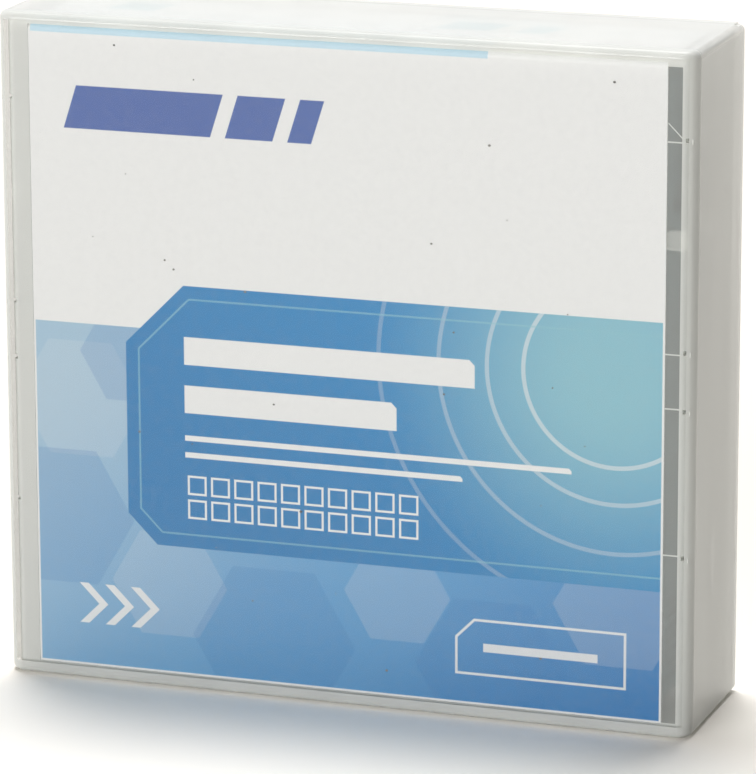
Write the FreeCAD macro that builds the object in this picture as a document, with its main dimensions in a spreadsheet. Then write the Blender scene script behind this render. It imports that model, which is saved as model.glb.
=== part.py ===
import FreeCAD, Part
import math
import os
import re

import Sketcher

# Tape cleaning cartridge in its hinged storage case, in millimetres.
# X is the width, +Z is up, and the case's front panel looks along -Y.
# Sketches on the XZ plane rise along -Y, so a lift is counted forwards from the middle.

Vector = FreeCAD.Vector

drivingSizes = [
    ("TapeWide", 12.65, "half-inch tape"),
    ("TapeRoom", 0.175, "tape's edge to each flange"),
    ("FlangeThick", 1.0, "reel flanges"),
    ("FlangeTaper", 0.3, "drop of the flanges' outer faces towards the rim"),
    ("FlangeRoom", 0.6, "flange's rim to the low rib round the reel"),
    ("TapeShy", 11.15, "wound tape inside the flange's rim"),
    ("ReelPlay", 0.05, "hub flange to the rim under it"),
    ("ReelTopRoom", 2.15, "upper flange to the upper shell's floor"),
    ("PlateRadius", 13.6, "steel clutch plate"),
    ("PlateThick", 1.0, "steel clutch plate"),
    ("PlatePlay", 0.05, "clutch plate to its recess"),
    ("PlateLap", 0.4, "hub's eye inside the clutch plate's"),
    ("HubEye", 5.0, "hole in the middle of the hub's floor"),
    ("HubFloor", 2.0, "hub's floor, with the flange"),
    ("HubWall", 2.5, "hub's barrel"),
    ("ToothReach", 2.6, "teeth, inner to outer end"),
    ("ToothCount", 36, "teeth in each ring"),
    ("ToothFill", 0.8, "share of its pitch that a tooth's foot takes"),
    ("ToothRoot", 0.1, "teeth's feet inside what carries them"),
    ("ClutchMargin", 1.8, "clutch plate to the clutch teeth"),
    ("ClutchTall", 1.5, "clutch teeth"),
    ("BrakeMargin", 0.8, "clutch plate's rim to the brake teeth, seen along the axis"),
    ("BrakeTall", 1.2, "brake teeth"),
    ("BrakeGap", 0.15, "brake teeth to the hub's teeth, tip to tip"),
    ("BrakeRim", 0.4, "brake disc beyond its teeth"),
    ("BrakeSideRoom", 2.1, "brake disc to the hub's bore"),
    ("BrakeThick", 1.5, "brake disc"),
    ("BrakeLift", 1.9, "travel of the brake"),
    ("BrakeTopRoom", 2.0, "brake's cup to the upper shell when lifted"),
    ("BrakeCupWall", 1.7, "brake's cup round the post"),
    ("BrakeNose", 3.0, "brake's nose over the release pad, radius"),
    ("NoseBevel", 1.0, "bevel of the brake's nose"),
    ("NoseGap", 0.1, "brake's nose to the release pad"),
    ("LipReach", 1.5, "locating lip of the upper flange"),
    ("LipWall", 1.1, "locating lip, wall"),
    ("LipPlay", 0.05, "locating lip to the hub's bore"),
    ("PadRadius", 9.0, "release pad, over its arms"),
    ("PadArms", 3, "release pad"),
    ("PadArm", 4.2, "release pad's arms, width"),
    ("PadThick", 0.9, "release pad's arms"),
    ("PadPlay", 0.05, "release pad above the hub's floor"),
    ("StemPlay", 0.4, "release pad's stem to the hub's eye"),
    ("StemShy", 0.2, "release pad's stem inside the hub's face"),
    ("StemBevel", 0.9, "bevel of the release pad's stem"),
    ("PostRadius", 6.0, "brake post of the upper shell"),
    ("PostWall", 1.6, "brake post"),
    ("PostRoom", 1.05, "brake post to the lifted brake"),
    ("KeyWide", 1.2, "key ribs of the brake post"),
    ("KeyReach", 0.9, "key ribs, into the slots of the brake's cup"),
    ("KeyPlay", 0.3, "brake to its post and keys"),
    ("CoilWire", 0.5, "brake spring, wire radius"),
    ("CoilRoom", 2.1, "brake spring to the brake's cup"),
    ("CoilTurns", 4, "brake spring"),
    ("CoilPlay", 0.05, "springs to their seats"),
    ("CoilEndGap", 0.1, "end turn of a spring to the turn beside it"),
    ("CartWidth", 105.4, "cartridge"),
    ("CartLength", 102.0, "cartridge, rear end to insertion end"),
    ("ShellWall", 1.5, "side walls of the shells"),
    ("ShellFloor", 2.0, "large faces of the shells"),
    ("ShellCut", 2.0, "corner chamfers at the insertion end"),
    ("ShellRound", 1.5, "corner radius at the rear end"),
    ("ShellBevel", 0.8, "bevel round the large faces"),
    ("RoundRibRoom", 1.2, "low rib round the reel to the side walls"),
    ("RoundRibWide", 1.0, "low rib round the reel"),
    ("RoundRibTall", 1.5, "low rib round the reel"),
    ("OpeningRoom", 0.8, "clutch teeth to the opening of the lower shell"),
    ("HubRimWide", 1.2, "rim round the hub opening"),
    ("HubRimTall", 0.3, "rim round the hub opening, above the floor"),
    ("BossRadius", 3.2, "screw bosses"),
    ("RearBossInset", 6.5, "rear screw bosses, from the cartridge's side"),
    ("RearBossRise", 5.0, "rear screw bosses, from the rear end"),
    ("FrontBossInset", 12.2, "front screw bosses, from the cartridge's side"),
    ("FrontBossDrop", 4.2, "front screw bosses, from the insertion end"),
    ("ScrewRadius", 1.1, "screw shank"),
    ("ScrewHeadRadius", 2.0, "screw head"),
    ("ScrewHeadTall", 1.4, "screw head"),
    ("ScrewLength", 13.0, "screw shank"),
    ("ScrewPlay", 0.03, "screw shank to its pilot hole"),
    ("ScrewSink", 2.2, "depth of the screw head's well"),
    ("WindowDrop", 3.3, "access window, from the insertion end"),
    ("WindowTall", 20.0, "access window"),
    ("WindowRim", 1.5, "edge of the access window beyond the shells' floors"),
    ("DoorThick", 0.9, "access door"),
    ("DoorLap", 1.5, "access door beyond its window"),
    ("DoorPlay", 0.15, "access door to the shells"),
    ("DoorTravel", 18.5, "access door"),
    ("DoorLip", 1.1, "pull lip of the door, out from its face"),
    ("DoorLipTall", 0.9, "pull lip of the door"),
    ("DoorLipWide", 11.0, "pull lip of the door, front to back"),
    ("DoorGuide", 1.0, "guide ribs behind the door"),
    ("DoorGuideTall", 1.5, "guide ribs behind the door, above the floor"),
    ("DoorGuideSpare", 1.7, "guide ribs past the open door"),
    ("DoorCoilRadius", 0.85, "door spring, mean radius"),
    ("DoorCoilWire", 0.2, "door spring, wire radius"),
    ("DoorCoilTurns", 9, "door spring"),
    ("DoorCoilRoom", 14.7, "length of the door spring when the door is open"),
    ("DoorCoilInset", 3.15, "door spring's axis to the lower shell's floor"),
    ("DoorSeatTall", 1.4, "seat under the door spring"),
    ("PinInset", 6.5, "leader pin, from the cartridge's side"),
    ("PinDrop", 8.6, "leader pin, from the insertion end"),
    ("PinRadius", 1.1, "leader pin's shank"),
    ("PinHead", 1.4, "leader pin's heads"),
    ("PinHeadTall", 1.0, "leader pin's heads"),
    ("PinBevel", 0.4, "bevel of the leader pin's heads"),
    ("PinNeck", 0.8, "leader pin's necks"),
    ("PinNeckTall", 0.7, "leader pin's necks"),
    ("PinPlay", 0.1, "leader pin to its seats"),
    ("SeatWall", 1.0, "leader pin's seats"),
    ("SeatTall", 1.4, "leader pin's seats, above the floor"),
    ("ClipWall", 0.85, "leader clip"),
    ("ClipPlay", 0.05, "leader clip to the pin"),
    ("ClipSlit", 1.0, "slit of the leader clip"),
    ("LeaderThick", 0.1, "leader tape"),
    ("LeaderClear", 0.5, "untwisted stretch of the leader tape beyond the flanges"),
    ("SpringLeaf", 0.3, "leaf springs beside the pin"),
    ("SpringWide", 1.1, "leaf springs, front to back"),
    ("SpringRise", 9.0, "leaf springs, foot to tip"),
    ("SpringBend", 3.15, "leaf springs, bend to tip"),
    ("SpringCurl", 0.9, "turned-back tips of the leaf springs"),
    ("SpringStand", 2.9, "leaf springs' feet, from the pin's axis"),
    ("SpringPlay", 0.05, "leaf springs to their holders and the pin"),
    ("HolderWall", 0.8, "holders of the leaf springs"),
    ("HolderTall", 2.6, "holders of the leaf springs, along the leaf"),
    ("ChipInset", 13.2, "memory board, from the cartridge's side"),
    ("ChipRise", 12.0, "memory board, from the rear end"),
    ("ChipLong", 10.0, "memory board"),
    ("ChipTall", 11.0, "memory board, front to back"),
    ("ChipThick", 0.8, "memory board"),
    ("ChipPlay", 0.05, "memory board to its slots"),
    ("ChipHolderWall", 0.9, "slots of the memory board"),
    ("ChipDie", 4.6, "potted die on the memory board"),
    ("ChipDieTall", 0.5, "potted die on the memory board"),
    ("SwitchInset", 12.2, "write-protect window, from the cartridge's side"),
    ("SwitchOpen", 9.5, "write-protect window, left to right"),
    ("SwitchWide", 4.4, "write-protect window, front to back"),
    ("SwitchThumb", 5.4, "thumb piece of the tab"),
    ("SwitchPlay", 0.1, "write-protect tab to the shells"),
    ("SwitchPlate", 1.2, "plate of the write-protect tab"),
    ("SwitchLap", 2.5, "plate beyond the thumb piece, each way"),
    ("SwitchRail", 1.0, "rails behind the write-protect tab"),
    ("SwitchRailEnd", 2.0, "rails' ends, from the parting line"),
    ("ThumbShy", 0.2, "thumb piece inside the cartridge's rear face"),
    ("ThumbNotch", 0.6, "notch across the thumb piece"),
    ("LabelRoom", 8.0, "edge label to the write-protect window"),
    ("LabelInset", 5.7, "edge label's right end, from the cartridge's side"),
    ("LabelTall", 15.0, "edge label, front to back"),
    ("LabelThick", 0.15, "edge label"),
    ("LabelSink", 0.25, "recess of the edge label"),
    ("LabelPlay", 0.3, "edge label to the rim of its recess"),
    ("PanelInset", 10.7, "recessed panel on the upper shell, from its sides"),
    ("PanelRise", 24.0, "recessed panel's lower edge, from the rear end"),
    ("PanelDrop", 6.0, "recessed panel's upper edge, from the insertion end"),
    ("PanelSink", 0.35, "recessed panel on the upper shell"),
    ("GripCount", 7, "grip grooves on each side"),
    ("GripPitch", 2.0, "grip grooves"),
    ("GripStart", 3.4, "first grip groove, from the rear end"),
    ("GripWide", 0.9, "grip grooves"),
    ("GripDeep", 0.45, "grip grooves"),
    ("GripRim", 1.6, "solid edge in front of the grip grooves"),
    ("DatumInset", 19.7, "locating holes, from the cartridge's side"),
    ("DatumDrop", 6.0, "locating holes, from the insertion end"),
    ("DatumRadius", 1.9, "locating holes"),
    ("DatumDeep", 1.2, "locating holes"),
    ("FrontWall", 1.3, "lid's front panel"),
    ("SideWall", 1.25, "lid's side, top and bottom walls"),
    ("BackWall", 1.3, "back plate of the tray"),
    ("FrontRoom", 1.75, "cartridge to the lid's front panel"),
    ("SideRoom", 4.05, "cartridge to the lid's side walls"),
    ("CardRoom", 0.3, "tray's top wall to the card over it"),
    ("LidCorner", 2.5, "radius of the lid's upright front edges"),
    ("LidEdge", 1.1, "radius round the lid's top and bottom faces"),
    ("LidSeam", 0.05, "gap between the lid's rim and the back plate"),
    ("FilmThick", 0.3, "hinge film"),
    ("FilmHold", 1.25, "film's lap on the lid's top wall and on the back plate"),
    ("CardSideRoom", 3.75, "inlay card to the lid's side walls"),
    ("CardDrop", 1.9, "card's lower edge above the case's bottom"),
    ("CardThick", 0.35, "card stock"),
    ("CardFoldRound", 1.65, "outside radius of the card's fold"),
    ("CardGap", 0.1, "card to the walls in front of and above it"),
    ("CardTabDrop", 30.0, "middle of the tabs that hold the card, from the case's top"),
    ("CardTabTall", 3.0, "card tab, and the rib behind it"),
    ("CardTabLap", 0.65, "card tab, over the card"),
    ("CardTabPlay", 0.05, "card tab to the card"),
    ("CardTabThick", 1.0, "card tab, front to back"),
    ("CardTabRound", 1.35, "rounded tip of the card tab"),
    ("CardTabRun", 12.0, "rib behind the card tab, front to back"),
    ("CardTabRib", 1.6, "rib behind the card tab, in from the side wall"),
    ("GuideRibTall", 0.7, "small ribs on the lid's side walls"),
    ("GuideRibDeep", 0.8, "small ribs, in from the side wall"),
    ("GuideRibRun", 11.0, "small ribs, back from the front panel"),
    ("GuideFirstRise", 29.3, "lowest small rib, from the case's bottom"),
    ("GuideSecondRise", 53.0, "second small rib, from the case's bottom"),
    ("GuideThirdDrop", 47.6, "third small rib, from the case's top"),
    ("GuideFourthDrop", 14.0, "highest small rib, from the case's top"),
    ("TrayDrop", 2.9, "underside of the tray's floor above the case's bottom"),
    ("TrayWall", 1.2, "tray's walls"),
    ("TrayPlay", 0.4, "cartridge to the tray's side and top walls"),
    ("TrayFloorDeep", 7.7, "tray's floor, forward of the back plate"),
    ("TraySidePast", 0.3, "tray's side walls, forward of the cartridge's middle"),
    ("TrayTopShy", 2.95, "tray's top wall, behind the cartridge's front face"),
    ("TrayReliefLow", 5.0, "start of the slanted relief above the tray's underside"),
    ("TrayReliefHigh", 14.9, "end of the slanted relief above the tray's underside"),
    ("TrayGusset", 6.2, "height of the gusset under the tray's top wall"),
    ("SeatRib", 0.3, "ribs on the tray's floor under the cartridge"),
    ("SeatRibWide", 1.2, "the same ribs, their width"),
    ("BackRib", 1.75, "ribs on the back plate behind the cartridge"),
    ("BackRibWide", 1.2, "the same ribs, their width"),
    ("BackRibInset", 10.7, "upright ribs on the back plate, from the cartridge's sides"),
    ("BackRingRadius", 23.0, "dust ring round the hub opening, outside"),
    ("LatchRise", 25.0, "middle of the snap beads"),
    ("LatchTall", 10.0, "snap beads"),
    ("LatchWide", 1.2, "snap beads, front to back"),
    ("LatchTrayReach", 0.9, "bead on the tray, out from its side wall"),
    ("LatchLidReach", 1.2, "bead on the lid, in from its side wall"),
    ("LatchTrayBack", 1.4, "bead on the tray, behind the edge of its side wall"),
    ("LatchGap", 0.6, "tray bead to lid bead, front to back"),
]

workedOut = [
    ("FlangeGap", "TapeWide + 2 * TapeRoom"),
    ("CartThick", "2 * (ShellFloor + FlangeThick) + HubRimTall + ReelPlay + FlangeGap + ReelTopRoom"),
    ("ShellHalf", "CartThick / 2"),
    ("FloorFace", "CartThick / 2 - ShellFloor"),
    ("ShellSide", "CartWidth / 2"),
    ("ShellInner", "CartWidth / 2 - ShellWall"),
    ("RoundRib", "min(ShellInner - RoundRibRoom; CartLength / 2 - ShellWall + RoundRibWide / 2)"
                 " - RoundRibWide"),
    ("ReelRise", "ShellWall + RoundRib"),
    ("FlangeRadius", "RoundRib - FlangeRoom"),
    ("TapeOuter", "FlangeRadius - TapeShy"),
    ("FlangeLow", "-FloorFace + HubRimTall + ReelPlay"),
    ("FlangeTop", "FlangeLow + FlangeThick + FlangeGap"),
    ("HubFloorTop", "FlangeLow + HubFloor"),
    ("ClutchIn", "PlateRadius + ClutchMargin"),
    ("ClutchOut", "ClutchIn + ToothReach"),
    ("HubOpening", "ClutchOut + OpeningRoom"),
    ("BrakeIn", "PlateRadius + BrakeMargin"),
    ("BrakeOut", "BrakeIn + ToothReach"),
    ("BrakeRadius", "BrakeOut + BrakeRim"),
    ("HubBore", "BrakeRadius + BrakeSideRoom"),
    ("HubRadius", "HubBore + HubWall"),
    ("PadTop", "HubFloorTop + PadPlay + PadThick"),
    ("BrakeTips", "HubFloorTop + BrakeTall + BrakeGap"),
    ("BrakeUnder", "BrakeTips + BrakeTall"),
    ("BrakeTop", "BrakeUnder + BrakeThick"),
    ("BrakeCupTop", "FloorFace - BrakeLift - BrakeTopRoom"),
    ("PostEnd", "BrakeTop + BrakeLift + PostRoom"),
    ("CupInner", "PostRadius + KeyPlay"),
    ("CupOuter", "CupInner + BrakeCupWall"),
    ("CoilRadius", "CupOuter + CoilRoom + CoilWire"),
    ("WindowLow", "CartLength - WindowDrop - WindowTall"),
    ("DoorOuter", "ShellInner - DoorPlay"),
    ("DoorInner", "ShellInner - DoorPlay - DoorThick"),
    ("DoorTop", "CartLength - ShellWall - DoorPlay"),
    ("DoorBottom", "WindowLow - DoorLap"),
    ("DoorCoilSeat", "DoorBottom - DoorTravel - DoorCoilRoom"),
    ("PinSide", "ShellSide - PinInset"),
    ("PinRise", "CartLength - PinDrop"),
    ("PinSeatInner", "PinHead + PinPlay"),
    ("ClipInner", "PinRadius + ClipPlay"),
    ("ClipOuter", "ClipInner + ClipWall"),
    ("ChipSide", "ShellSide - ChipInset"),
    ("SwitchLeft", "-ShellSide + SwitchInset"),
    ("SwitchBack", "ShellWall + SwitchPlay"),
    ("SwitchHalf", "SwitchWide / 2 - SwitchPlay"),
    ("LabelLeft", "SwitchLeft + SwitchOpen + LabelRoom"),
    ("LabelRight", "ShellSide - LabelInset"),
    ("CartBottom", "TrayDrop + TrayWall + SeatRib"),
    ("CartTop", "CartBottom + CartLength"),
    ("TrayInner", "CartWidth / 2 + TrayPlay"),
    ("TrayOuter", "TrayInner + TrayWall"),
    ("TrayCeiling", "CartTop + TrayPlay"),
    ("TrayTop", "TrayCeiling + TrayWall"),
    ("CaseDepth", "BackWall + BackRib + CartThick + FrontRoom + FrontWall"),
    ("FrontFace", "CaseDepth / 2"),
    ("PanelFace", "CaseDepth / 2 - FrontWall"),
    ("PlateFace", "-CaseDepth / 2 + BackWall"),
    ("RimFace", "PlateFace + LidSeam"),
    ("CartMiddle", "PlateFace + BackRib + CartThick / 2"),
    ("TraySideDeep", "BackRib + CartThick / 2 + TraySidePast"),
    ("TrayTopDeep", "BackRib + CartThick - TrayTopShy"),
    ("LidInner", "CartWidth / 2 + SideRoom"),
    ("HalfWidth", "LidInner + SideWall"),
    ("LidWeld", "LidInner + SideWall / 2"),
    ("LidCeiling", "TrayTop + CardRoom + CardThick + CardGap"),
    ("CaseHeight", "LidCeiling + SideWall"),
    ("PlateTop", "CaseHeight - FilmThick"),
    ("CardHalf", "LidInner - CardSideRoom"),
    ("CardFront", "PanelFace - CardGap"),
    ("CardTabFace", "CardFront - CardThick - CardTabPlay"),
    ("CardTabRise", "CaseHeight - CardTabDrop"),
    ("LidBeadFace", "PlateFace + TraySideDeep - LatchTrayBack - LatchWide - LatchGap"),
]

doc = FreeCAD.newDocument("TapeCleaningCartridge")
sheets = {
    "Sizes": doc.addObject("Spreadsheet::Sheet", "Sizes"),
    "Places": doc.addObject("Spreadsheet::Sheet", "Places"),
}
sheetOf = {}


def qualified(text):
    """Put the name of its sheet before each size that an expression uses."""
    return re.sub(r"[A-Za-z]+", lambda word: sheetOf.get(word[0], "") + word[0], text)


def fillSheets():
    for row, (alias, number, note) in enumerate(drivingSizes, start=1):
        sheets["Sizes"].set(f"A{row}", alias)
        sheets["Sizes"].set(f"B{row}", str(number))
        sheets["Sizes"].set(f"C{row}", note)
        sheets["Sizes"].setAlias(f"B{row}", alias)
        sheetOf[alias] = "Sizes."
    for row, (alias, formula) in enumerate(workedOut, start=1):
        sheets["Places"].set(f"A{row}", alias)
        sheets["Places"].set(f"B{row}", "=" + qualified(formula))
        sheets["Places"].setAlias(f"B{row}", alias)
        sheetOf[alias] = "Places."
    doc.recompute()


def size(alias):
    """The number that a driving or worked-out size has now."""
    return float(sheets[sheetOf[alias].rstrip(".")].get(alias))


def bind(thing, path, text):
    thing.setExpression(path, qualified(text))


# Sketches: each corner or centre is held by two distances from the sketch's origin.

def newBody(label, sideways="0", forwards="0", rise="0"):
    body = doc.addObject("PartDesign::Body", label)
    body.Label = label
    bind(body, "Placement.Base.x", sideways)
    bind(body, "Placement.Base.y", f"-({forwards})")
    bind(body, "Placement.Base.z", rise)
    return body


def originPart(body, role):
    return next(item for item in body.Origin.OriginFeatures if item.Role == role)


def newSketch(body, name, plane="XZ_Plane", lift="0"):
    sketch = body.newObject("Sketcher::SketchObject", name)
    sketch.AttachmentSupport = [(originPart(body, plane), "")]
    sketch.MapMode = "FlatFace"
    bind(sketch, "AttachmentOffset.Base.z", lift)
    return sketch


def holdPoint(sketch, item, end, across, up):
    for kind, text in (("DistanceX", across), ("DistanceY", up)):
        number = sketch.addConstraint(Sketcher.Constraint(kind, -1, 1, item, end, 1.0))
        bind(sketch, f"Constraints[{number}]", text)


def addLoop(sketch, corners):
    """A closed outline of straight edges through corners given as pairs of expressions."""
    count = len(corners)
    first = sketch.GeometryCount
    start = [Vector(math.cos(6.28 * k / count), math.sin(6.28 * k / count), 0) for k in range(count)]
    for k in range(count):
        sketch.addGeometry(Part.LineSegment(start[k], start[(k + 1) % count]), False)
    for k in range(count):
        following = first + (k + 1) % count
        sketch.addConstraint(Sketcher.Constraint("Coincident", first + k, 2, following, 1))
    for k, (across, up) in enumerate(corners):
        holdPoint(sketch, first + k, 1, across, up)


def addBox(sketch, left, low, right, high):
    addLoop(sketch, [(left, low), (right, low), (right, high), (left, high)])


def addCircle(sketch, across, up, radius):
    item = sketch.addGeometry(Part.Circle(Vector(0, 0, 0), Vector(0, 0, 1), 1.0), False)
    holdPoint(sketch, item, 3, across, up)
    number = sketch.addConstraint(Sketcher.Constraint("Radius", item, 1.0))
    bind(sketch, f"Constraints[{number}]", radius)


def addTurnedBox(sketch, across, up, long, thick):
    """A box turned by 45 degrees about its middle."""
    corners = []
    for side, edge in ((-1, -1), (1, -1), (1, 1), (-1, 1)):
        along = f"{side} * ({long}) / 2"
        through = f"{edge} * ({thick}) / 2"
        corners.append((f"{across} + ({along} - ({through})) / sqrt(2)",
                        f"{up} + ({along} + ({through})) / sqrt(2)"))
    addLoop(sketch, corners)


# Features: each one has to change the volume of its body the way it should.

def featureOf(body, kind, sketch, name, length, backwards, both=False):
    before = body.Shape.Volume if body.Tip else 0.0
    feature = body.newObject(f"PartDesign::{kind}", name)
    feature.Profile = sketch
    bind(feature, "Length", length)
    feature.Reversed = backwards
    if both:
        feature.SideType = "Symmetric"
    doc.recompute()
    return checked(feature, before, grows=(kind == "Pad"))


def checked(feature, before, grows):
    if "Invalid" in feature.State or "Error" in feature.State or feature.Shape.isNull():
        raise RuntimeError(f"{feature.Label} didn't build: {feature.State}")
    change = feature.Shape.Volume - before
    if (change <= 0) if grows else (change >= 0):
        raise RuntimeError(f"{feature.Label} changed the volume by {change:.4f}")
    return feature


def pad(body, sketch, length, backwards=False, both=False):
    return featureOf(body, "Pad", sketch, sketch.Name + "Pad", length, backwards, both)


def pocket(body, sketch, length, forwards=False):
    return featureOf(body, "Pocket", sketch, sketch.Name + "Pocket", length, forwards)


def revolve(body, sketch, axis="Y_Axis"):
    feature = body.newObject("PartDesign::Revolution", sketch.Name + "Turn")
    feature.Profile = sketch
    feature.ReferenceAxis = (originPart(body, axis), [""])
    feature.Angle = 360
    doc.recompute()
    return checked(feature, 0.0, grows=True)


def repeatRound(body, feature, count, name):
    before = body.Shape.Volume
    pattern = body.newObject("PartDesign::PolarPattern", name)
    pattern.Originals = [feature]
    pattern.Axis = (originPart(body, "Y_Axis"), [""])
    pattern.Angle = 360
    bind(pattern, "Occurrences", count)
    body.Tip = pattern
    doc.recompute()
    return checked(pattern, before, grows=True)


def repeatMirrored(body, features, name, grows=True):
    before = body.Shape.Volume
    mirror = body.newObject("PartDesign::Mirrored", name)
    mirror.Originals = features
    mirror.MirrorPlane = (originPart(body, "YZ_Plane"), [""])
    body.Tip = mirror
    doc.recompute()
    return checked(mirror, before, grows)


def repeatUp(body, feature, pitch, count, name, grows):
    before = body.Shape.Volume
    pattern = body.newObject("PartDesign::LinearPattern", name)
    pattern.Originals = [feature]
    pattern.Direction = (originPart(body, "Z_Axis"), [""])
    bind(pattern, "Length", f"({pitch}) * ({count} - 1)")
    bind(pattern, "Occurrences", count)
    body.Tip = pattern
    doc.recompute()
    return checked(pattern, before, grows)


def spanOf(edge):
    box = edge.BoundBox
    return box.XLength, box.YLength, box.ZLength


def near(value, target, slack=0.02):
    return abs(value - target) < slack


def edgesWhere(feature, test):
    """Names of the edges whose middle and reach pass a test."""
    names = []
    for number, edge in enumerate(feature.Shape.Edges, start=1):
        if test(edge, edge.BoundBox.Center, spanOf(edge)):
            names.append(f"Edge{number}")
    if not names:
        raise RuntimeError(f"no edge of {feature.Label} was found")
    return names


def soften(body, feature, names, radius, name, kind="Fillet"):
    before = body.Shape.Volume
    edge = body.newObject(f"PartDesign::{kind}", name)
    edge.Base = (feature, names)
    bind(edge, "Radius" if kind == "Fillet" else "Size", radius)
    doc.recompute()
    if "Invalid" in edge.State or "Error" in edge.State or near(edge.Shape.Volume, before, 1e-6):
        raise RuntimeError(f"{name} didn't build: {edge.State}")
    return edge


def showShape(label, shape, sideways=0.0, forwards=0.0, rise=0.0):
    thing = doc.addObject("Part::Feature", label)
    thing.Label = label
    thing.Shape = shape
    seat = FreeCAD.Placement(Vector(sideways, -forwards, rise), FreeCAD.Rotation())
    thing.Placement = seat.multiply(shape.Placement)
    return thing


# Storage case

def buildCaseLid():
    body = newBody("case_lid")
    outline = newSketch(body, "LidOutline", lift="RimFace")
    addBox(outline, "-HalfWidth", "0", "HalfWidth", "CaseHeight")
    block = pad(body, outline, "FrontFace - RimFace")
    front = -size("FrontFace")
    upright = edgesWhere(block, lambda edge, middle, span: near(middle.y, front) and span[2] > 1)
    corners = soften(body, block, upright, "LidCorner", "LidCorners")
    levels = (0.0, size("CaseHeight"))
    rim = -size("RimFace")
    rounds = edgesWhere(corners, lambda edge, middle, span:
                        any(near(middle.z, level) for level in levels)
                        and span[2] < 0.01 and not near(middle.y, rim))
    soften(body, corners, rounds, "LidEdge", "LidEdges")

    hollow = newSketch(body, "LidHollow", lift="RimFace")
    addBox(hollow, "-LidInner", "SideWall", "LidInner", "LidCeiling")
    cavity = pocket(body, hollow, "PanelFace - RimFace", forwards=True)
    panel = -size("PanelFace")
    inside = edgesWhere(cavity, lambda edge, middle, span:
                        near(middle.y, panel) and span[2] > 1 and span[0] < 1)
    soften(body, cavity, inside, "LidCorner - SideWall", "LidInsideCorners")

    seat = newSketch(body, "FilmRebate", lift="RimFace")
    addBox(seat, "-HalfWidth - 1", "PlateTop", "HalfWidth + 1", "CaseHeight + 1")
    pocket(body, seat, "FilmHold", forwards=True)

    tab = newSketch(body, "CardTab", lift="CardTabFace")
    tabLow = "CardTabRise - CardTabTall / 2"
    tabHigh = "CardTabRise + CardTabTall / 2"
    addBox(tab, "CardHalf - CardTabLap", tabLow, "LidWeld", tabHigh)
    tabPad = pad(body, tab, "CardTabThick", backwards=True)
    tip = size("CardHalf") - size("CardTabLap")
    ends = edgesWhere(tabPad, lambda edge, middle, span: near(middle.x, tip) and span[1] > 0.5)
    soften(body, tabPad, ends, "CardTabRound", "CardTabTip")

    rib = newSketch(body, "CardTabBacking", lift="CardTabFace")
    addBox(rib, "LidInner - CardTabRib", tabLow, "LidWeld", tabHigh)
    pad(body, rib, "CardTabRun", backwards=True)

    guides = newSketch(body, "GuideRibs", lift="PanelFace - GuideRibRun")
    for rise in ("GuideFirstRise", "GuideSecondRise",
                 "CaseHeight - GuideThirdDrop", "CaseHeight - GuideFourthDrop"):
        addBox(guides, "LidInner - GuideRibDeep", f"{rise} - GuideRibTall / 2",
               "LidWeld", f"{rise} + GuideRibTall / 2")
    pad(body, guides, "GuideRibRun + FrontWall / 2")

    bead = newSketch(body, "LidBead", "XY_Plane", lift="LatchRise - LatchTall / 2")
    face = "-LidBeadFace"
    back = "-LidBeadFace + LatchWide"
    addLoop(bead, [("LidWeld", f"{face} - LatchWide / 4"),
                   ("LidInner", f"{face} - LatchWide / 4"),
                   ("LidInner - LatchLidReach", f"{face} + LatchWide / 4"),
                   ("LidInner - LatchLidReach", f"{back} - LatchWide / 4"),
                   ("LidInner", f"{back} + LatchWide / 4"),
                   ("LidWeld", f"{back} + LatchWide / 4")])
    pad(body, bead, "LatchTall")
    rightSide = [item for item in body.Group if item.Name in
                 ("CardTabPad", "CardTabBackingPad", "GuideRibsPad", "LidBeadPad", "CardTabTip")]
    repeatMirrored(body, rightSide, "LidLeftSide")
    return body


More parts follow.
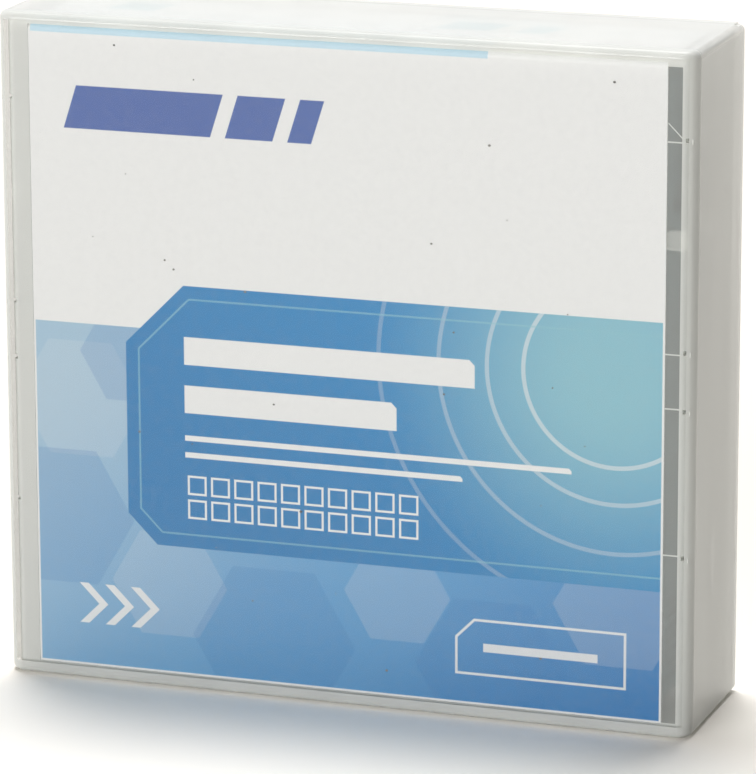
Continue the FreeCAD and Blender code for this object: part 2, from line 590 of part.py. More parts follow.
def buildCaseTray():
    body = newBody("case_tray")
    plate = newSketch(body, "BackPlate", lift="PlateFace")
    addBox(plate, "-HalfWidth", "0", "HalfWidth", "PlateTop")
    block = pad(body, plate, "BackWall", backwards=True)
    along = edgesWhere(block, lambda edge, middle, span: span[1] > 1)
    soften(body, block, along, "LidEdge", "PlateCorners")

    side = newSketch(body, "TraySide", "YZ_Plane", lift="TrayInner")
    root = "-PlateFace"
    low = "TrayDrop"
    addLoop(side, [(f"{root} + BackWall / 2", low),
                   (f"{root} - TrayFloorDeep", low),
                   (f"{root} - TrayFloorDeep", f"{low} + TrayReliefLow"),
                   (f"{root} - TraySideDeep", f"{low} + TrayReliefHigh"),
                   (f"{root} - TraySideDeep", "TrayTop - TrayGusset"),
                   (f"{root} - TrayTopDeep", "TrayTop"),
                   (f"{root} + BackWall / 2", "TrayTop")])
    sidePad = pad(body, side, "TrayWall")

    bead = newSketch(body, "TrayBead", "XY_Plane", lift="LatchRise - LatchTall / 2")
    face = "-(PlateFace + TraySideDeep - LatchTrayBack)"
    addLoop(bead, [("TrayOuter - TrayWall / 2", face),
                   ("TrayOuter", face),
                   ("TrayOuter + LatchTrayReach", f"{face} + LatchWide / 4"),
                   ("TrayOuter + LatchTrayReach", f"{face} + LatchWide * 3 / 4"),
                   ("TrayOuter", f"{face} + LatchWide"),
                   ("TrayOuter - TrayWall / 2", f"{face} + LatchWide")])
    beadPad = pad(body, bead, "LatchTall")
    repeatMirrored(body, [sidePad, beadPad], "TrayLeftSide")

    floor = newSketch(body, "TrayFloor", lift="PlateFace - BackWall / 2")
    addBox(floor, "-TrayOuter", "TrayDrop", "TrayOuter", "TrayDrop + TrayWall")
    pad(body, floor, "TrayFloorDeep + BackWall / 2")
    top = newSketch(body, "TrayRoof", lift="PlateFace - BackWall / 2")
    addBox(top, "-TrayOuter", "TrayCeiling", "TrayOuter", "TrayTop")
    pad(body, top, "TrayTopDeep + BackWall / 2")

    seats = newSketch(body, "SeatRibs", lift="PlateFace - BackWall / 2")
    for share in ("-0.75", "-0.25", "0.25", "0.75"):
        middle = f"{share} * TrayInner"
        addBox(seats, f"{middle} - SeatRibWide / 2", "TrayDrop + TrayWall / 2",
               f"{middle} + SeatRibWide / 2", "CartBottom")
    pad(body, seats, "TrayFloorDeep + BackWall / 2 - SeatRib")

    ribs = newSketch(body, "BackRibs", lift="PlateFace - BackWall / 2")
    for sign in ("-", ""):
        middle = f"{sign}(ShellSide - BackRibInset)"
        addBox(ribs, f"{middle} - BackRibWide / 2", "TrayDrop + TrayWall / 2",
               f"{middle} + BackRibWide / 2", "TrayCeiling + TrayWall / 2")
    pad(body, ribs, "BackRib + BackWall / 2")
    ring = newSketch(body, "DustRing", lift="PlateFace - BackWall / 2")
    addCircle(ring, "0", "CartBottom + ReelRise", "BackRingRadius")
    addCircle(ring, "0", "CartBottom + ReelRise", "BackRingRadius - BackRibWide")
    pad(body, ring, "BackRib + BackWall / 2")
    return body


def buildHingeFilm():
    film = doc.addObject("Part::Box", "hinge_film")
    film.Label = "hinge_film"
    bind(film, "Length", "2 * (HalfWidth - LidEdge)")
    bind(film, "Width", "FilmHold * 2 - LidSeam")
    bind(film, "Height", "FilmThick")
    bind(film, "Placement.Base.x", "-HalfWidth + LidEdge")
    bind(film, "Placement.Base.y", "-RimFace - FilmHold")
    bind(film, "Placement.Base.z", "PlateTop")
    return film


def buildInsertCard():
    body = newBody("insert_card")
    profile = newSketch(body, "CardProfile", "YZ_Plane")
    front = "-CardFront"
    spineEnd = "-(RimFace + FilmHold)"
    top = "LidCeiling - CardGap"
    addLoop(profile, [(front, "CardDrop"),
                      (front, top),
                      (spineEnd, top),
                      (spineEnd, f"{top} - CardThick"),
                      (f"{front} + CardThick", f"{top} - CardThick"),
                      (f"{front} + CardThick", "CardDrop")])
    panel = pad(body, profile, "2 * CardHalf", both=True)
    outside = -size("CardFront")
    peak = size("LidCeiling") - size("CardGap")
    thick = size("CardThick")
    crease = edgesWhere(panel, lambda edge, middle, span:
                        near(middle.y, outside) and near(middle.z, peak) and span[0] > 1)
    fold = soften(body, panel, crease, "CardFoldRound", "CardFold")
    crease = edgesWhere(fold, lambda edge, middle, span:
                        near(middle.y, outside + thick) and near(middle.z, peak - thick)
                        and span[0] > 1)
    soften(body, fold, crease, "CardFoldRound - CardThick", "CardFoldInside")
    return body


# Cartridge shells, counted from the parting line and the rear end

def bossSpots():
    rear = "(ShellSide - RearBossInset)"
    front = "(ShellSide - FrontBossInset)"
    return [(f"-{rear}", "RearBossRise"), (rear, "RearBossRise"),
            (f"-{front}", "CartLength - FrontBossDrop"), (front, "CartLength - FrontBossDrop")]


def buildShell(label, isUpper):
    """One half of the cartridge's housing: the upper one rises forwards, the lower one backwards."""
    body = newBody(label, "0", "CartMiddle", "CartBottom")
    mark = "Upper" if isUpper else "Lower"
    rises = not isUpper

    outline = newSketch(body, mark + "Outline")
    addLoop(outline, [("-ShellSide", "0"), ("ShellSide", "0"),
                      ("ShellSide", "CartLength - ShellCut"),
                      ("ShellSide - ShellCut", "CartLength"),
                      ("-ShellSide + ShellCut", "CartLength"),
                      ("-ShellSide", "CartLength - ShellCut")])
    block = pad(body, outline, "ShellHalf", backwards=rises)
    rear = edgesWhere(block, lambda edge, middle, span: near(middle.z, 0) and span[1] > 1)
    rounded = soften(body, block, rear, "ShellRound", mark + "RearCorners")
    outer = -size("ShellHalf") if isUpper else size("ShellHalf")
    rim = edgesWhere(rounded, lambda edge, middle, span: near(middle.y, outer))
    soften(body, rounded, rim, "ShellBevel", mark + "Bevel", kind="Chamfer")

    hollow = newSketch(body, mark + "Hollow")
    addBox(hollow, "-ShellInner", "ShellWall", "ShellInner", "CartLength - ShellWall")
    pocket(body, hollow, "FloorFace", forwards=isUpper)

    def standing(name, height, draw, base="FloorFace"):
        """A pad that stands on the inside of the floor."""
        sign = "" if isUpper else "-"
        sketch = newSketch(body, mark + name, lift=f"{sign}({base} + ShellFloor / 2)")
        draw(sketch)
        return pad(body, sketch, f"{height} + ShellFloor / 2", backwards=isUpper)

    def bosses(sketch):
        for across, up in bossSpots():
            addCircle(sketch, across, up, "BossRadius")

    def roundRib(sketch):
        addCircle(sketch, "0", "ReelRise", "RoundRib")
        addCircle(sketch, "0", "ReelRise", "RoundRib + RoundRibWide")

    def doorGuide(sketch):
        addBox(sketch, "DoorInner - DoorPlay - DoorGuide",
               "DoorBottom - DoorTravel - DoorGuideSpare",
               "DoorInner - DoorPlay", "CartLength - ShellWall / 2")

    def pinSeat(sketch):
        addCircle(sketch, "PinSide", "PinRise", "PinSeatInner + SeatWall")

    def springHolder(sketch):
        foot = "PinSide - SpringStand"
        low = "PinRise - SpringRise"
        addBox(sketch, f"{foot} + SpringPlay", low,
               f"{foot} + SpringPlay + HolderWall", f"{low} + HolderTall")
        addBox(sketch, f"{foot} - SpringLeaf - SpringPlay - HolderWall", low,
               f"{foot} - SpringLeaf - SpringPlay", f"{low} + HolderTall")

    def switchRail(sketch):
        addBox(sketch, "SwitchLeft - SwitchLap", "SwitchBack + SwitchPlate + SwitchPlay",
               "SwitchLeft + SwitchOpen + SwitchLap",
               "SwitchBack + SwitchPlate + SwitchPlay + SwitchRail")

    def chipHolder(sketch):
        addTurnedBox(sketch, "ChipSide", "ChipRise", "ChipLong + 2 * ChipHolderWall",
                     "ChipThick + 2 * ChipHolderWall")

    standing("Bosses", "FloorFace", bosses)
    standing("RoundRib", "RoundRibTall", roundRib)
    standing("DoorGuide", "DoorGuideTall", doorGuide)
    standing("PinSeat", "SeatTall", pinSeat)
    standing("SpringHolder", "SeatTall", springHolder)
    standing("SwitchRail", "FloorFace - SwitchRailEnd", switchRail)
    standing("ChipHolder", "FloorFace - ChipTall / 2 + ChipHolderWall * 2", chipHolder)

    def sunk(name, depth, draw, lift="0", away=True):
        """A pocket cut from a lift above the parting line towards the large face."""
        sign = "" if isUpper else "-"
        sketch = newSketch(body, mark + name, lift=f"{sign}({lift})")
        draw(sketch)
        return pocket(body, sketch, depth, forwards=(isUpper == away))

    def chipSlot(sketch):
        addTurnedBox(sketch, "ChipSide", "ChipRise", "ChipLong + 2 * ChipPlay",
                     "ChipThick + 2 * ChipPlay")

    def pinHole(sketch):
        addCircle(sketch, "PinSide", "PinRise", "PinSeatInner")

    def pinWay(sketch):
        addBox(sketch, "PinSide - PinSeatInner - SeatWall - PinPlay", "PinRise - PinSeatInner",
               "PinSide + PinSeatInner + SeatWall + PinPlay", "PinRise + PinSeatInner")

    def window(sketch):
        addBox(sketch, "ShellInner - ShellWall / 2", "WindowLow", "ShellSide + 1",
               "WindowLow + WindowTall")

    def switchWindow(sketch):
        addBox(sketch, "SwitchLeft", "-1", "SwitchLeft + SwitchOpen", "ShellWall + SwitchPlay")

    def labelRecess(sketch):
        addBox(sketch, "LabelLeft - LabelPlay", "-1", "LabelRight + LabelPlay", "LabelSink")

    sunk("ChipSlot", "ChipTall / 2 + ChipPlay", chipSlot)
    sunk("PinHole", "FloorFace", pinHole)
    sunk("PinWay", "FloorFace", pinWay)
    sunk("Window", "FloorFace - WindowRim", window)
    sunk("SwitchWindow", "SwitchWide / 2", switchWindow)
    sunk("LabelRecess", "LabelTall / 2 + LabelPlay", labelRecess)

    grip = newSketch(body, mark + "Grip")
    for sign, outside in (("-", "-ShellSide - 1"), ("", "ShellSide + 1")):
        addBox(grip, f"{sign}(ShellSide - GripDeep)", "GripStart",
               outside, "GripStart + GripWide")
    groove = pocket(body, grip, "ShellHalf - GripRim", forwards=isUpper)
    repeatUp(body, groove, "GripPitch", "GripCount", mark + "Grips", grows=False)
    return body, standing, sunk


def buildUpperShell():
    body, standing, sunk = buildShell("upper_shell", True)

    def post(sketch):
        addCircle(sketch, "0", "ReelRise", "PostRadius")

    def keys(sketch):
        addBox(sketch, "-CupInner - KeyReach", "ReelRise - KeyWide / 2",
               "CupInner + KeyReach", "ReelRise + KeyWide / 2")

    def bore(sketch):
        addCircle(sketch, "0", "ReelRise", "PostRadius - PostWall")

    def pilots(sketch):
        for across, up in bossSpots():
            addCircle(sketch, across, up, "ScrewRadius + ScrewPlay")

    def panel(sketch):
        addBox(sketch, "-ShellSide + PanelInset", "PanelRise",
               "ShellSide - PanelInset", "CartLength - PanelDrop")

    standing("Post", "FloorFace - PostEnd", post)
    standing("Keys", "FloorFace - PostEnd", keys)
    sunk("Bore", "FloorFace - PostEnd", bore, lift="PostEnd")
    sunk("Pilots", "FloorFace", pilots)
    sunk("Panel", "PanelSink", panel, lift="ShellHalf", away=False)
    return body


def buildLowerShell():
    body, standing, sunk = buildShell("lower_shell", False)

    def rim(sketch):
        addCircle(sketch, "0", "ReelRise", "HubOpening + HubRimWide")

    def opening(sketch):
        addCircle(sketch, "0", "ReelRise", "HubOpening")

    def screwWays(sketch):
        for across, up in bossSpots():
            addCircle(sketch, across, up, "ScrewRadius + 2 * ScrewPlay")

    def screwWells(sketch):
        for across, up in bossSpots():
            addCircle(sketch, across, up, "ScrewHeadRadius + 5 * ScrewPlay")

    def datums(sketch):
        for sign in ("-", ""):
            addCircle(sketch, f"{sign}(ShellSide - DatumInset)", "CartLength - DatumDrop", "DatumRadius")

    def coilSeat(sketch):
        addBox(sketch, "DoorInner - DoorPlay - DoorGuide", "DoorCoilSeat - DoorSeatTall",
               "ShellInner + ShellWall / 2", "DoorCoilSeat")

    standing("HubRim", "HubRimTall", rim)
    standing("CoilSeat", "DoorCoilInset + 2 * DoorCoilRadius", coilSeat)
    sunk("HubOpening", "ShellHalf", opening)
    sunk("ScrewWays", "ShellHalf", screwWays)
    sunk("ScrewWells", "ScrewSink", screwWells, lift="ShellHalf", away=False)
    sunk("Datums", "DatumDeep", datums, lift="ShellHalf", away=False)
    return body


def buildShellScrews():
    """Four screws that hold the shells together, driven from the lower one."""
    seat = -size("ShellHalf") + size("ScrewSink")
    head = size("ScrewHeadRadius")
    tall = size("ScrewHeadTall")
    shank = size("ScrewRadius")
    end = seat + size("ScrewLength")
    profile = [(0, seat - tall), (head * 0.8, seat - tall), (head, seat - tall * 0.6), (head, seat),
               (shank, seat), (shank, end - shank), (shank * 0.4, end), (0, end)]
    wire = Part.makePolygon([Vector(radius, -lift, 0) for radius, lift in profile + profile[:1]])
    screw = Part.Face(wire).revolve(Vector(), Vector(0, 1, 0), 360)
    drive = Part.makeBox(head, tall * 0.4, head * 0.24)
    drive.translate(Vector(-head / 2, -(seat - tall) - tall * 0.4, -head * 0.12))
    crossed = drive.copy()
    crossed.rotate(Vector(), Vector(0, 1, 0), 90)
    screw = screw.cut(drive).cut(crossed)
    copies = []
    for across in (-1, 1):
        for inset, up in (("RearBossInset", size("RearBossRise")),
                          ("FrontBossInset", size("CartLength") - size("FrontBossDrop"))):
            side = size("ShellSide") - size(inset)
            copies.append(screw.translated(Vector(across * side, 0, up)))
    return showShape("shell_screws", Part.makeCompound(copies), 0,
                     size("CartMiddle"), size("CartBottom"))


# Reel, counted from the parting line and the reel's axis

def newReelBody(label):
    return newBody(label, "0", "CartMiddle", "CartBottom + ReelRise")


def addTurnedProfile(body, name, corners):
    """A profile of radius and lift pairs, turned about the reel's axis."""
    sketch = newSketch(body, name, "XY_Plane")
    addLoop(sketch, [(radius, f"-({lift})") for radius, lift in corners])
    return revolve(body, sketch)


def addTeeth(body, name, inner, outer, foot, tip):
    """A ring of radial teeth with a pointed section, between two lifts."""
    half = f"ToothFill * pi / ToothCount * ({inner} + {outer}) / 2"
    sketch = newSketch(body, name, "YZ_Plane", lift=inner)
    addLoop(sketch, [(f"-({foot})", f"-({half})"), (f"-({foot})", half),
                     (f"-({tip})", f"({half}) / 4"), (f"-({tip})", f"-({half}) / 4")])
    tooth = pad(body, sketch, f"{outer} - {inner}")
    return repeatRound(body, tooth, "ToothCount", name + "Ring")


def buildReelHub():
    body = newReelBody("reel_hub")
    under = "FlangeLow"
    addTurnedProfile(body, "HubProfile", [
        ("HubEye", f"{under} + PlateThick"), ("PlateRadius + PlatePlay", f"{under} + PlateThick"),
        ("PlateRadius + PlatePlay", under), ("FlangeRadius", f"{under} + FlangeTaper"),
        ("FlangeRadius", f"{under} + FlangeThick"), ("HubRadius", f"{under} + FlangeThick"),
        ("HubRadius", "FlangeTop"), ("HubBore", "FlangeTop"), ("HubBore", "HubFloorTop"),
        ("HubEye", "HubFloorTop")])
    addTeeth(body, "BrakeTeeth", "BrakeIn", "BrakeOut", "HubFloorTop - ToothRoot",
             "HubFloorTop + BrakeTall")
    addTeeth(body, "ClutchTeeth", "ClutchIn", "ClutchOut", "FlangeLow + FlangeTaper",
             "FlangeLow - ClutchTall")
    return body


def buildUpperFlange():
    body = newReelBody("upper_flange")
    lipOut = "HubBore - LipPlay"
    addTurnedProfile(body, "UpperFlangeProfile", [
        (f"{lipOut} - LipWall", "FlangeTop - LipReach"), (lipOut, "FlangeTop - LipReach"),
        (lipOut, "FlangeTop"), ("FlangeRadius", "FlangeTop"),
        ("FlangeRadius", "FlangeTop + FlangeThick - FlangeTaper"),
        (f"{lipOut} - LipWall", "FlangeTop + FlangeThick")])
    return body


def buildTapePack():
    body = newReelBody("tape_pack")
    low = "FlangeLow + FlangeThick + TapeRoom"
    addTurnedProfile(body, "TapeProfile", [
        ("HubRadius", low), ("TapeOuter", low),
        ("TapeOuter", f"{low} + TapeWide"), ("HubRadius", f"{low} + TapeWide")])
    return body


def buildClutchPlate():
    body = newReelBody("clutch_plate")
    addTurnedProfile(body, "PlateProfile", [
        ("HubEye + PlateLap", "FlangeLow"), ("PlateRadius", "FlangeLow"),
        ("PlateRadius", "FlangeLow + PlateThick"),
        ("HubEye + PlateLap", "FlangeLow + PlateThick")])
    return body


def buildReleasePad():
    body = newReelBody("release_pad")
    stem = "HubEye - StemPlay"
    face = "FlangeLow + StemShy"
    addTurnedProfile(body, "PadProfile", [
        ("0", face), (f"{stem} - StemBevel", face), (stem, f"{face} + StemBevel"),
        (stem, "PadTop"), ("0", "PadTop")])
    sketch = newSketch(body, "PadArm", lift="PadTop - PadThick")
    addBox(sketch, "0", "-PadArm / 2", "PadRadius", "PadArm / 2")
    arm = pad(body, sketch, "PadThick")
    repeatRound(body, arm, "PadArms", "PadArmRing")
    return body


def buildBrakeButton():
    body = newReelBody("brake_button")
    nose = "PadTop + NoseGap"
    addTurnedProfile(body, "BrakeProfile", [
        ("0", nose), ("BrakeNose - NoseBevel", nose), ("BrakeNose", f"{nose} + NoseBevel"),
        ("BrakeNose", "BrakeUnder"), ("BrakeRadius", "BrakeUnder"),
        ("BrakeRadius", "BrakeTop"), ("CupOuter", "BrakeTop"), ("CupOuter", "BrakeCupTop"),
        ("CupInner", "BrakeCupTop"), ("CupInner", "BrakeTop"), ("0", "BrakeTop")])
    addTeeth(body, "BrakeRing", "BrakeIn", "BrakeOut", "BrakeUnder + ToothRoot", "BrakeTips")
    slots = newSketch(body, "KeySlots", lift="BrakeTop")
    addBox(slots, "-CupOuter - 1", "-KeyWide / 2 - KeyPlay", "CupOuter + 1", "KeyWide / 2 + KeyPlay")
    pocket(body, slots, "BrakeCupTop - BrakeTop + 1", forwards=True)
    return body


def coilSpring(radius, wire, turns, length):
    """A round-wire coil with closed ends that fills a length along its axis, built of flat facets."""
    steps = 18
    sides = 8
    endPitch = 2 * wire + size("CoilEndGap")
    midPitch = (length - 2 * wire - 2 * endPitch) / (turns - 2)
    rings = []
    rise = wire
    for step in range(turns * steps + 1):
        turn = 2 * math.pi * step / steps
        outwards = Vector(math.cos(turn), math.sin(turn), 0)
        pitch = endPitch if step < steps or step >= (turns - 1) * steps else midPitch
        along = Vector(-math.sin(turn), math.cos(turn), pitch / (2 * math.pi * radius)).normalize()
        upwards = outwards.cross(along)
        middle = outwards * radius + Vector(0, 0, rise)
        rings.append([middle + (outwards * math.cos(2 * math.pi * side / sides)
                                + upwards * math.sin(2 * math.pi * side / sides)) * wire
                      for side in range(sides)])
        rise += pitch / steps
    corners = [(rings[0][0], rings[0][side], rings[0][side + 1]) for side in range(1, sides - 1)]
    corners += [(rings[-1][0], rings[-1][side + 1], rings[-1][side]) for side in range(1, sides - 1)]
    for ring, following in zip(rings, rings[1:]):
        for side in range(sides):
            other = (side + 1) % sides
            corners.append((ring[side], following[side], following[other]))
            corners.append((ring[side], following[other], ring[other]))
    shell = Part.Shell([Part.Face(Part.makePolygon([a, b, c, a])) for a, b, c in corners])
    shell.sewShape()
    coil = Part.Solid(shell)
    return coil if coil.Volume > 0 else coil.reversed()


def buildBrakeSpring():
    low = size("BrakeTop") + size("CoilPlay")
    high = size("FloorFace") - size("CoilPlay")
    coil = coilSpring(size("CoilRadius"), size("CoilWire"), int(size("CoilTurns")), high - low)
    coil.rotate(Vector(), Vector(1, 0, 0), 90)
    coil.translate(Vector(0, -low, 0))
    return showShape("brake_spring", coil, 0, size("CartMiddle"),
                     size("CartBottom") + size("ReelRise"))


# Door, leader pin, memory board, write-protect tab and label

def buildAccessDoor():
    body = newBody("access_door", "0", "CartMiddle", "CartBottom")
    plate = newSketch(body, "DoorPlate", lift="-FloorFace + DoorPlay")
    addBox(plate, "DoorInner", "DoorBottom", "DoorOuter", "DoorTop")
    pad(body, plate, "2 * (FloorFace - DoorPlay)")
    lip = newSketch(body, "PullLip", lift="-DoorLipWide / 2")
    addBox(lip, "DoorInner + DoorThick / 2", "WindowLow + WindowTall - DoorPlay - DoorLipTall",
           "DoorOuter + DoorLip", "WindowLow + WindowTall - DoorPlay")
    pad(body, lip, "DoorLipWide")
    return body


def buildDoorSpring():
    low = size("DoorCoilSeat") + size("CoilPlay")
    high = size("DoorBottom") - size("CoilPlay")
    reach = size("DoorCoilRadius") + size("DoorCoilWire") + size("DoorPlay")
    coil = coilSpring(size("DoorCoilRadius"), size("DoorCoilWire"), int(size("DoorCoilTurns")),
                      high - low)
    back = size("FloorFace") - size("DoorCoilInset")
    coil.translate(Vector(size("ShellInner") - reach, back, low))
    return showShape("door_spring", coil, 0, size("CartMiddle"), size("CartBottom"))


def newPinBody(label):
    return newBody(label, "PinSide", "CartMiddle", "CartBottom + PinRise")


def buildLeaderPin():
    body = newPinBody("leader_pin")
    end = "FloorFace - PinPlay"
    neck = f"({end} - PinHeadTall)"
    addTurnedProfile(body, "PinProfile", [
        ("0", f"-({end})"), ("PinHead - PinBevel", f"-({end})"), ("PinHead", f"-({end}) + PinBevel"),
        ("PinHead", f"-{neck}"), ("PinNeck", f"-{neck}"), ("PinNeck", f"-{neck} + PinNeckTall"),
        ("PinRadius", f"-{neck} + PinNeckTall"), ("PinRadius", f"{neck} - PinNeckTall"),
        ("PinNeck", f"{neck} - PinNeckTall"), ("PinNeck", neck), ("PinHead", neck),
        ("PinHead", f"{end} - PinBevel"), ("PinHead - PinBevel", end), ("0", end)])
    return body


def buildLeaderClip():
    body = newPinBody("leader_clip")
    addTurnedProfile(body, "ClipProfile", [
        ("ClipInner", "-TapeWide / 2"), ("ClipOuter", "-TapeWide / 2"),
        ("ClipOuter", "TapeWide / 2"), ("ClipInner", "TapeWide / 2")])
    slit = newSketch(body, "ClipSlit", lift="-TapeWide / 2 - 1")
    addBox(slit, "0", "-ClipSlit / 2", "ClipOuter + 1", "ClipSlit / 2")
    pocket(body, slit, "TapeWide + 2", forwards=True)
    return body


def leaderEnds():
    """Where the leader tape leaves its clip and meets the wound tape, from the reel's axis."""
    pin = Vector(size("PinSide"), 0, size("PinRise") - size("ReelRise"))
    reach = math.hypot(pin.x, pin.z)
    pack = size("TapeOuter")
    bearing = math.atan2(pin.z, pin.x) + math.acos(pack / reach)
    touch = Vector(pack * math.cos(bearing), 0, pack * math.sin(bearing))
    along = (touch - pin).normalize()
    return pin + along * size("ClipOuter"), touch, along


def buildLeaderTape():
    """A flat stretch of tape, centred on the clip at one end and level with the turns at the other."""
    start, touch, along = leaderEnds()
    low = size("FlangeLow") + size("FlangeThick") + size("TapeRoom")
    half = size("TapeWide") / 2
    clear = math.sqrt((size("FlangeRadius") + size("LeaderClear")) ** 2 - size("TapeOuter") ** 2)
    entry = touch - along * clear
    corners = [start + Vector(0, half, 0), entry + Vector(0, -low, 0), touch + Vector(0, -low, 0),
               touch + Vector(0, -low - 2 * half, 0), entry + Vector(0, -low - 2 * half, 0),
               start + Vector(0, -half, 0)]
    outwards = Vector(-along.z, 0, along.x)
    if outwards.dot(touch) < 0:
        outwards = -outwards
    strip = Part.Face(Part.makePolygon(corners + corners[:1])).extrude(outwards * size("LeaderThick"))
    return showShape("leader_tape", strip, 0, size("CartMiddle"),
                     size("CartBottom") + size("ReelRise"))


def buildPinSprings():
    """Two bent leaves, one at each end of the pin, that press on its heads."""
    leaf = size("SpringLeaf")
    foot = -size("SpringStand")
    tip = -size("PinHead") - size("SpringPlay")
    rise = size("SpringRise")
    bend = -size("SpringBend")
    curl = size("SpringCurl")
    outline = [(foot, -rise), (foot, bend), (tip, 0), (tip - leaf, curl),
               (tip - 2 * leaf, curl), (tip - leaf, 0),
               (foot - leaf, bend + leaf / 2), (foot - leaf, -rise)]
    wire = Part.makePolygon([Vector(across, 0, up) for across, up in outline + outline[:1]])
    blade = Part.Face(wire).extrude(Vector(0, size("SpringWide"), 0))
    end = size("FloorFace") - size("PinPlay")
    leaves = [blade.translated(Vector(0, -end, 0)),
              blade.translated(Vector(0, end - size("SpringWide"), 0))]
    return showShape("pin_springs", Part.makeCompound(leaves), size("PinSide"),
                     size("CartMiddle"), size("CartBottom") + size("PinRise"))


def buildMemoryChip():
    body = newBody("memory_chip", "0", "CartMiddle", "CartBottom")
    board = newSketch(body, "ChipBoard", lift="-ChipTall / 2")
    addTurnedBox(board, "ChipSide", "ChipRise", "ChipLong", "ChipThick")
    pad(body, board, "ChipTall")
    die = newSketch(body, "ChipDieOutline", lift="-ChipDie / 2")
    addTurnedBox(die, "ChipSide - ChipThick / 2 / sqrt(2)", "ChipRise + ChipThick / 2 / sqrt(2)",
                 "ChipDie", "2 * ChipDieTall")
    pad(body, die, "ChipDie")
    return body


def buildWriteProtectTab():
    body = newBody("write_protect_tab", "0", "CartMiddle", "CartBottom")
    thumbLeft = "SwitchLeft + SwitchPlay"
    plate = newSketch(body, "TabPlate", lift="-SwitchWide / 2 - SwitchRailEnd / 2")
    addBox(plate, f"{thumbLeft} - SwitchLap / 2", "SwitchBack",
           f"{thumbLeft} + SwitchThumb + SwitchLap", "SwitchBack + SwitchPlate")
    pad(body, plate, "SwitchWide + SwitchRailEnd")
    thumb = newSketch(body, "TabThumb", lift="-SwitchHalf")
    middle = f"{thumbLeft} + SwitchThumb / 2"
    addLoop(thumb, [(thumbLeft, "SwitchBack + SwitchPlate / 2"), (thumbLeft, "ThumbShy"),
                    (f"{middle} - 2 * ThumbNotch", "ThumbShy"),
                    (middle, "ThumbShy + ThumbNotch"),
                    (f"{middle} + 2 * ThumbNotch", "ThumbShy"),
                    (f"{thumbLeft} + SwitchThumb", "ThumbShy"),
                    (f"{thumbLeft} + SwitchThumb", "SwitchBack + SwitchPlate / 2")])
    pad(body, thumb, "2 * SwitchHalf")
    return body


def buildEdgeLabel():
    label = doc.addObject("Part::Box", "edge_label")
    label.Label = "edge_label"
    bind(label, "Length", "LabelRight - LabelLeft")
    bind(label, "Width", "LabelTall")
    bind(label, "Height", "LabelThick")
    bind(label, "Placement.Base.x", "LabelLeft")
    bind(label, "Placement.Base.y", "-CartMiddle - LabelTall / 2")
    bind(label, "Placement.Base.z", "CartBottom + LabelSink - LabelThick")
    return label


def writeSteps(pieces):
    doc.recompute()
    for item in doc.Objects:
        if "Invalid" in item.State or "Error" in item.State:
            raise RuntimeError(f"{item.Label} is {item.State}")
    for piece in pieces:
        if piece.Shape.isNull() or not piece.Shape.isValid():
            raise RuntimeError(f"{piece.Label} has no valid shape")
    os.makedirs("parts", exist_ok=True)
    for piece in pieces:
        piece.Shape.exportStep(f"parts/{piece.Label}.step")
        print(f"{piece.Label}: {len(piece.Shape.Solids)} solid, {piece.Shape.Volume:.1f} mm3")


fillSheets()
writeSteps([
    buildCaseLid(),
    buildCaseTray(),
    buildHingeFilm(),
    buildInsertCard(),
    buildUpperShell(),
    buildLowerShell(),
    buildShellScrews(),
    buildReelHub(),
    buildUpperFlange(),
    buildTapePack(),
    buildClutchPlate(),
    buildReleasePad(),
    buildBrakeButton(),
    buildBrakeSpring(),
    buildAccessDoor(),
    buildDoorSpring(),
    buildLeaderPin(),
    buildLeaderClip(),
    buildLeaderTape(),
    buildPinSprings(),
    buildMemoryChip(),
    buildWriteProtectTab(),
    buildEdgeLabel(),
])
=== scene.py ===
import math
import bpy
from mathutils import Matrix, Vector


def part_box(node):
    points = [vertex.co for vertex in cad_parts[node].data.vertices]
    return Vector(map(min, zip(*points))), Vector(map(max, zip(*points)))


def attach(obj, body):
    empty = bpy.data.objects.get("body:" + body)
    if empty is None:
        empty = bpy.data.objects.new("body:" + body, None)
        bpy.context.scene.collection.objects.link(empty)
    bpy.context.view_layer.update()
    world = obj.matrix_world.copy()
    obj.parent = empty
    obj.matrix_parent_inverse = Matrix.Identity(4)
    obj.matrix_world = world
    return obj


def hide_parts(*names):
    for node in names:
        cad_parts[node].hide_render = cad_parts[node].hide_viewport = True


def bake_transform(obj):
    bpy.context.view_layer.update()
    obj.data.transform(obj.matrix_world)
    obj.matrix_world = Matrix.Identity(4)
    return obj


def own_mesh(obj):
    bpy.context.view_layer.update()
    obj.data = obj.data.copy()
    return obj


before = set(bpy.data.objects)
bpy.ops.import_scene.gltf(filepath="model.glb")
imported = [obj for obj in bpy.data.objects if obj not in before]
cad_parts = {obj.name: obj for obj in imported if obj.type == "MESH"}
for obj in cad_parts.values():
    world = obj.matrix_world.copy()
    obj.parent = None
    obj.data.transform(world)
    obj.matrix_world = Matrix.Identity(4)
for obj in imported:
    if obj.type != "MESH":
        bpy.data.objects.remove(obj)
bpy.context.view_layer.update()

mm = 0.001

# Small helpers for shader trees

def startMaterial(name):
    material = bpy.data.materials.new(name)
    material.use_nodes = True
    material.node_tree.nodes.clear()
    return material, material.node_tree


def addNode(tree, kind, settings=None, inputs=None):
    made = tree.nodes.new(kind)
    for key, value in (settings or {}).items():
        setattr(made, key, value)
    for key, value in (inputs or {}).items():
        feed(tree, made.inputs[key], value)
    return made


def feed(tree, socket, value):
    if isinstance(value, bpy.types.NodeSocket):
        tree.links.new(value, socket)
    else:
        socket.default_value = value


def calc(tree, operation, *values):
    made = tree.nodes.new("ShaderNodeMath")
    made.operation = operation
    for number, value in enumerate(values):
        feed(tree, made.inputs[number], value)
    return made.outputs[0]


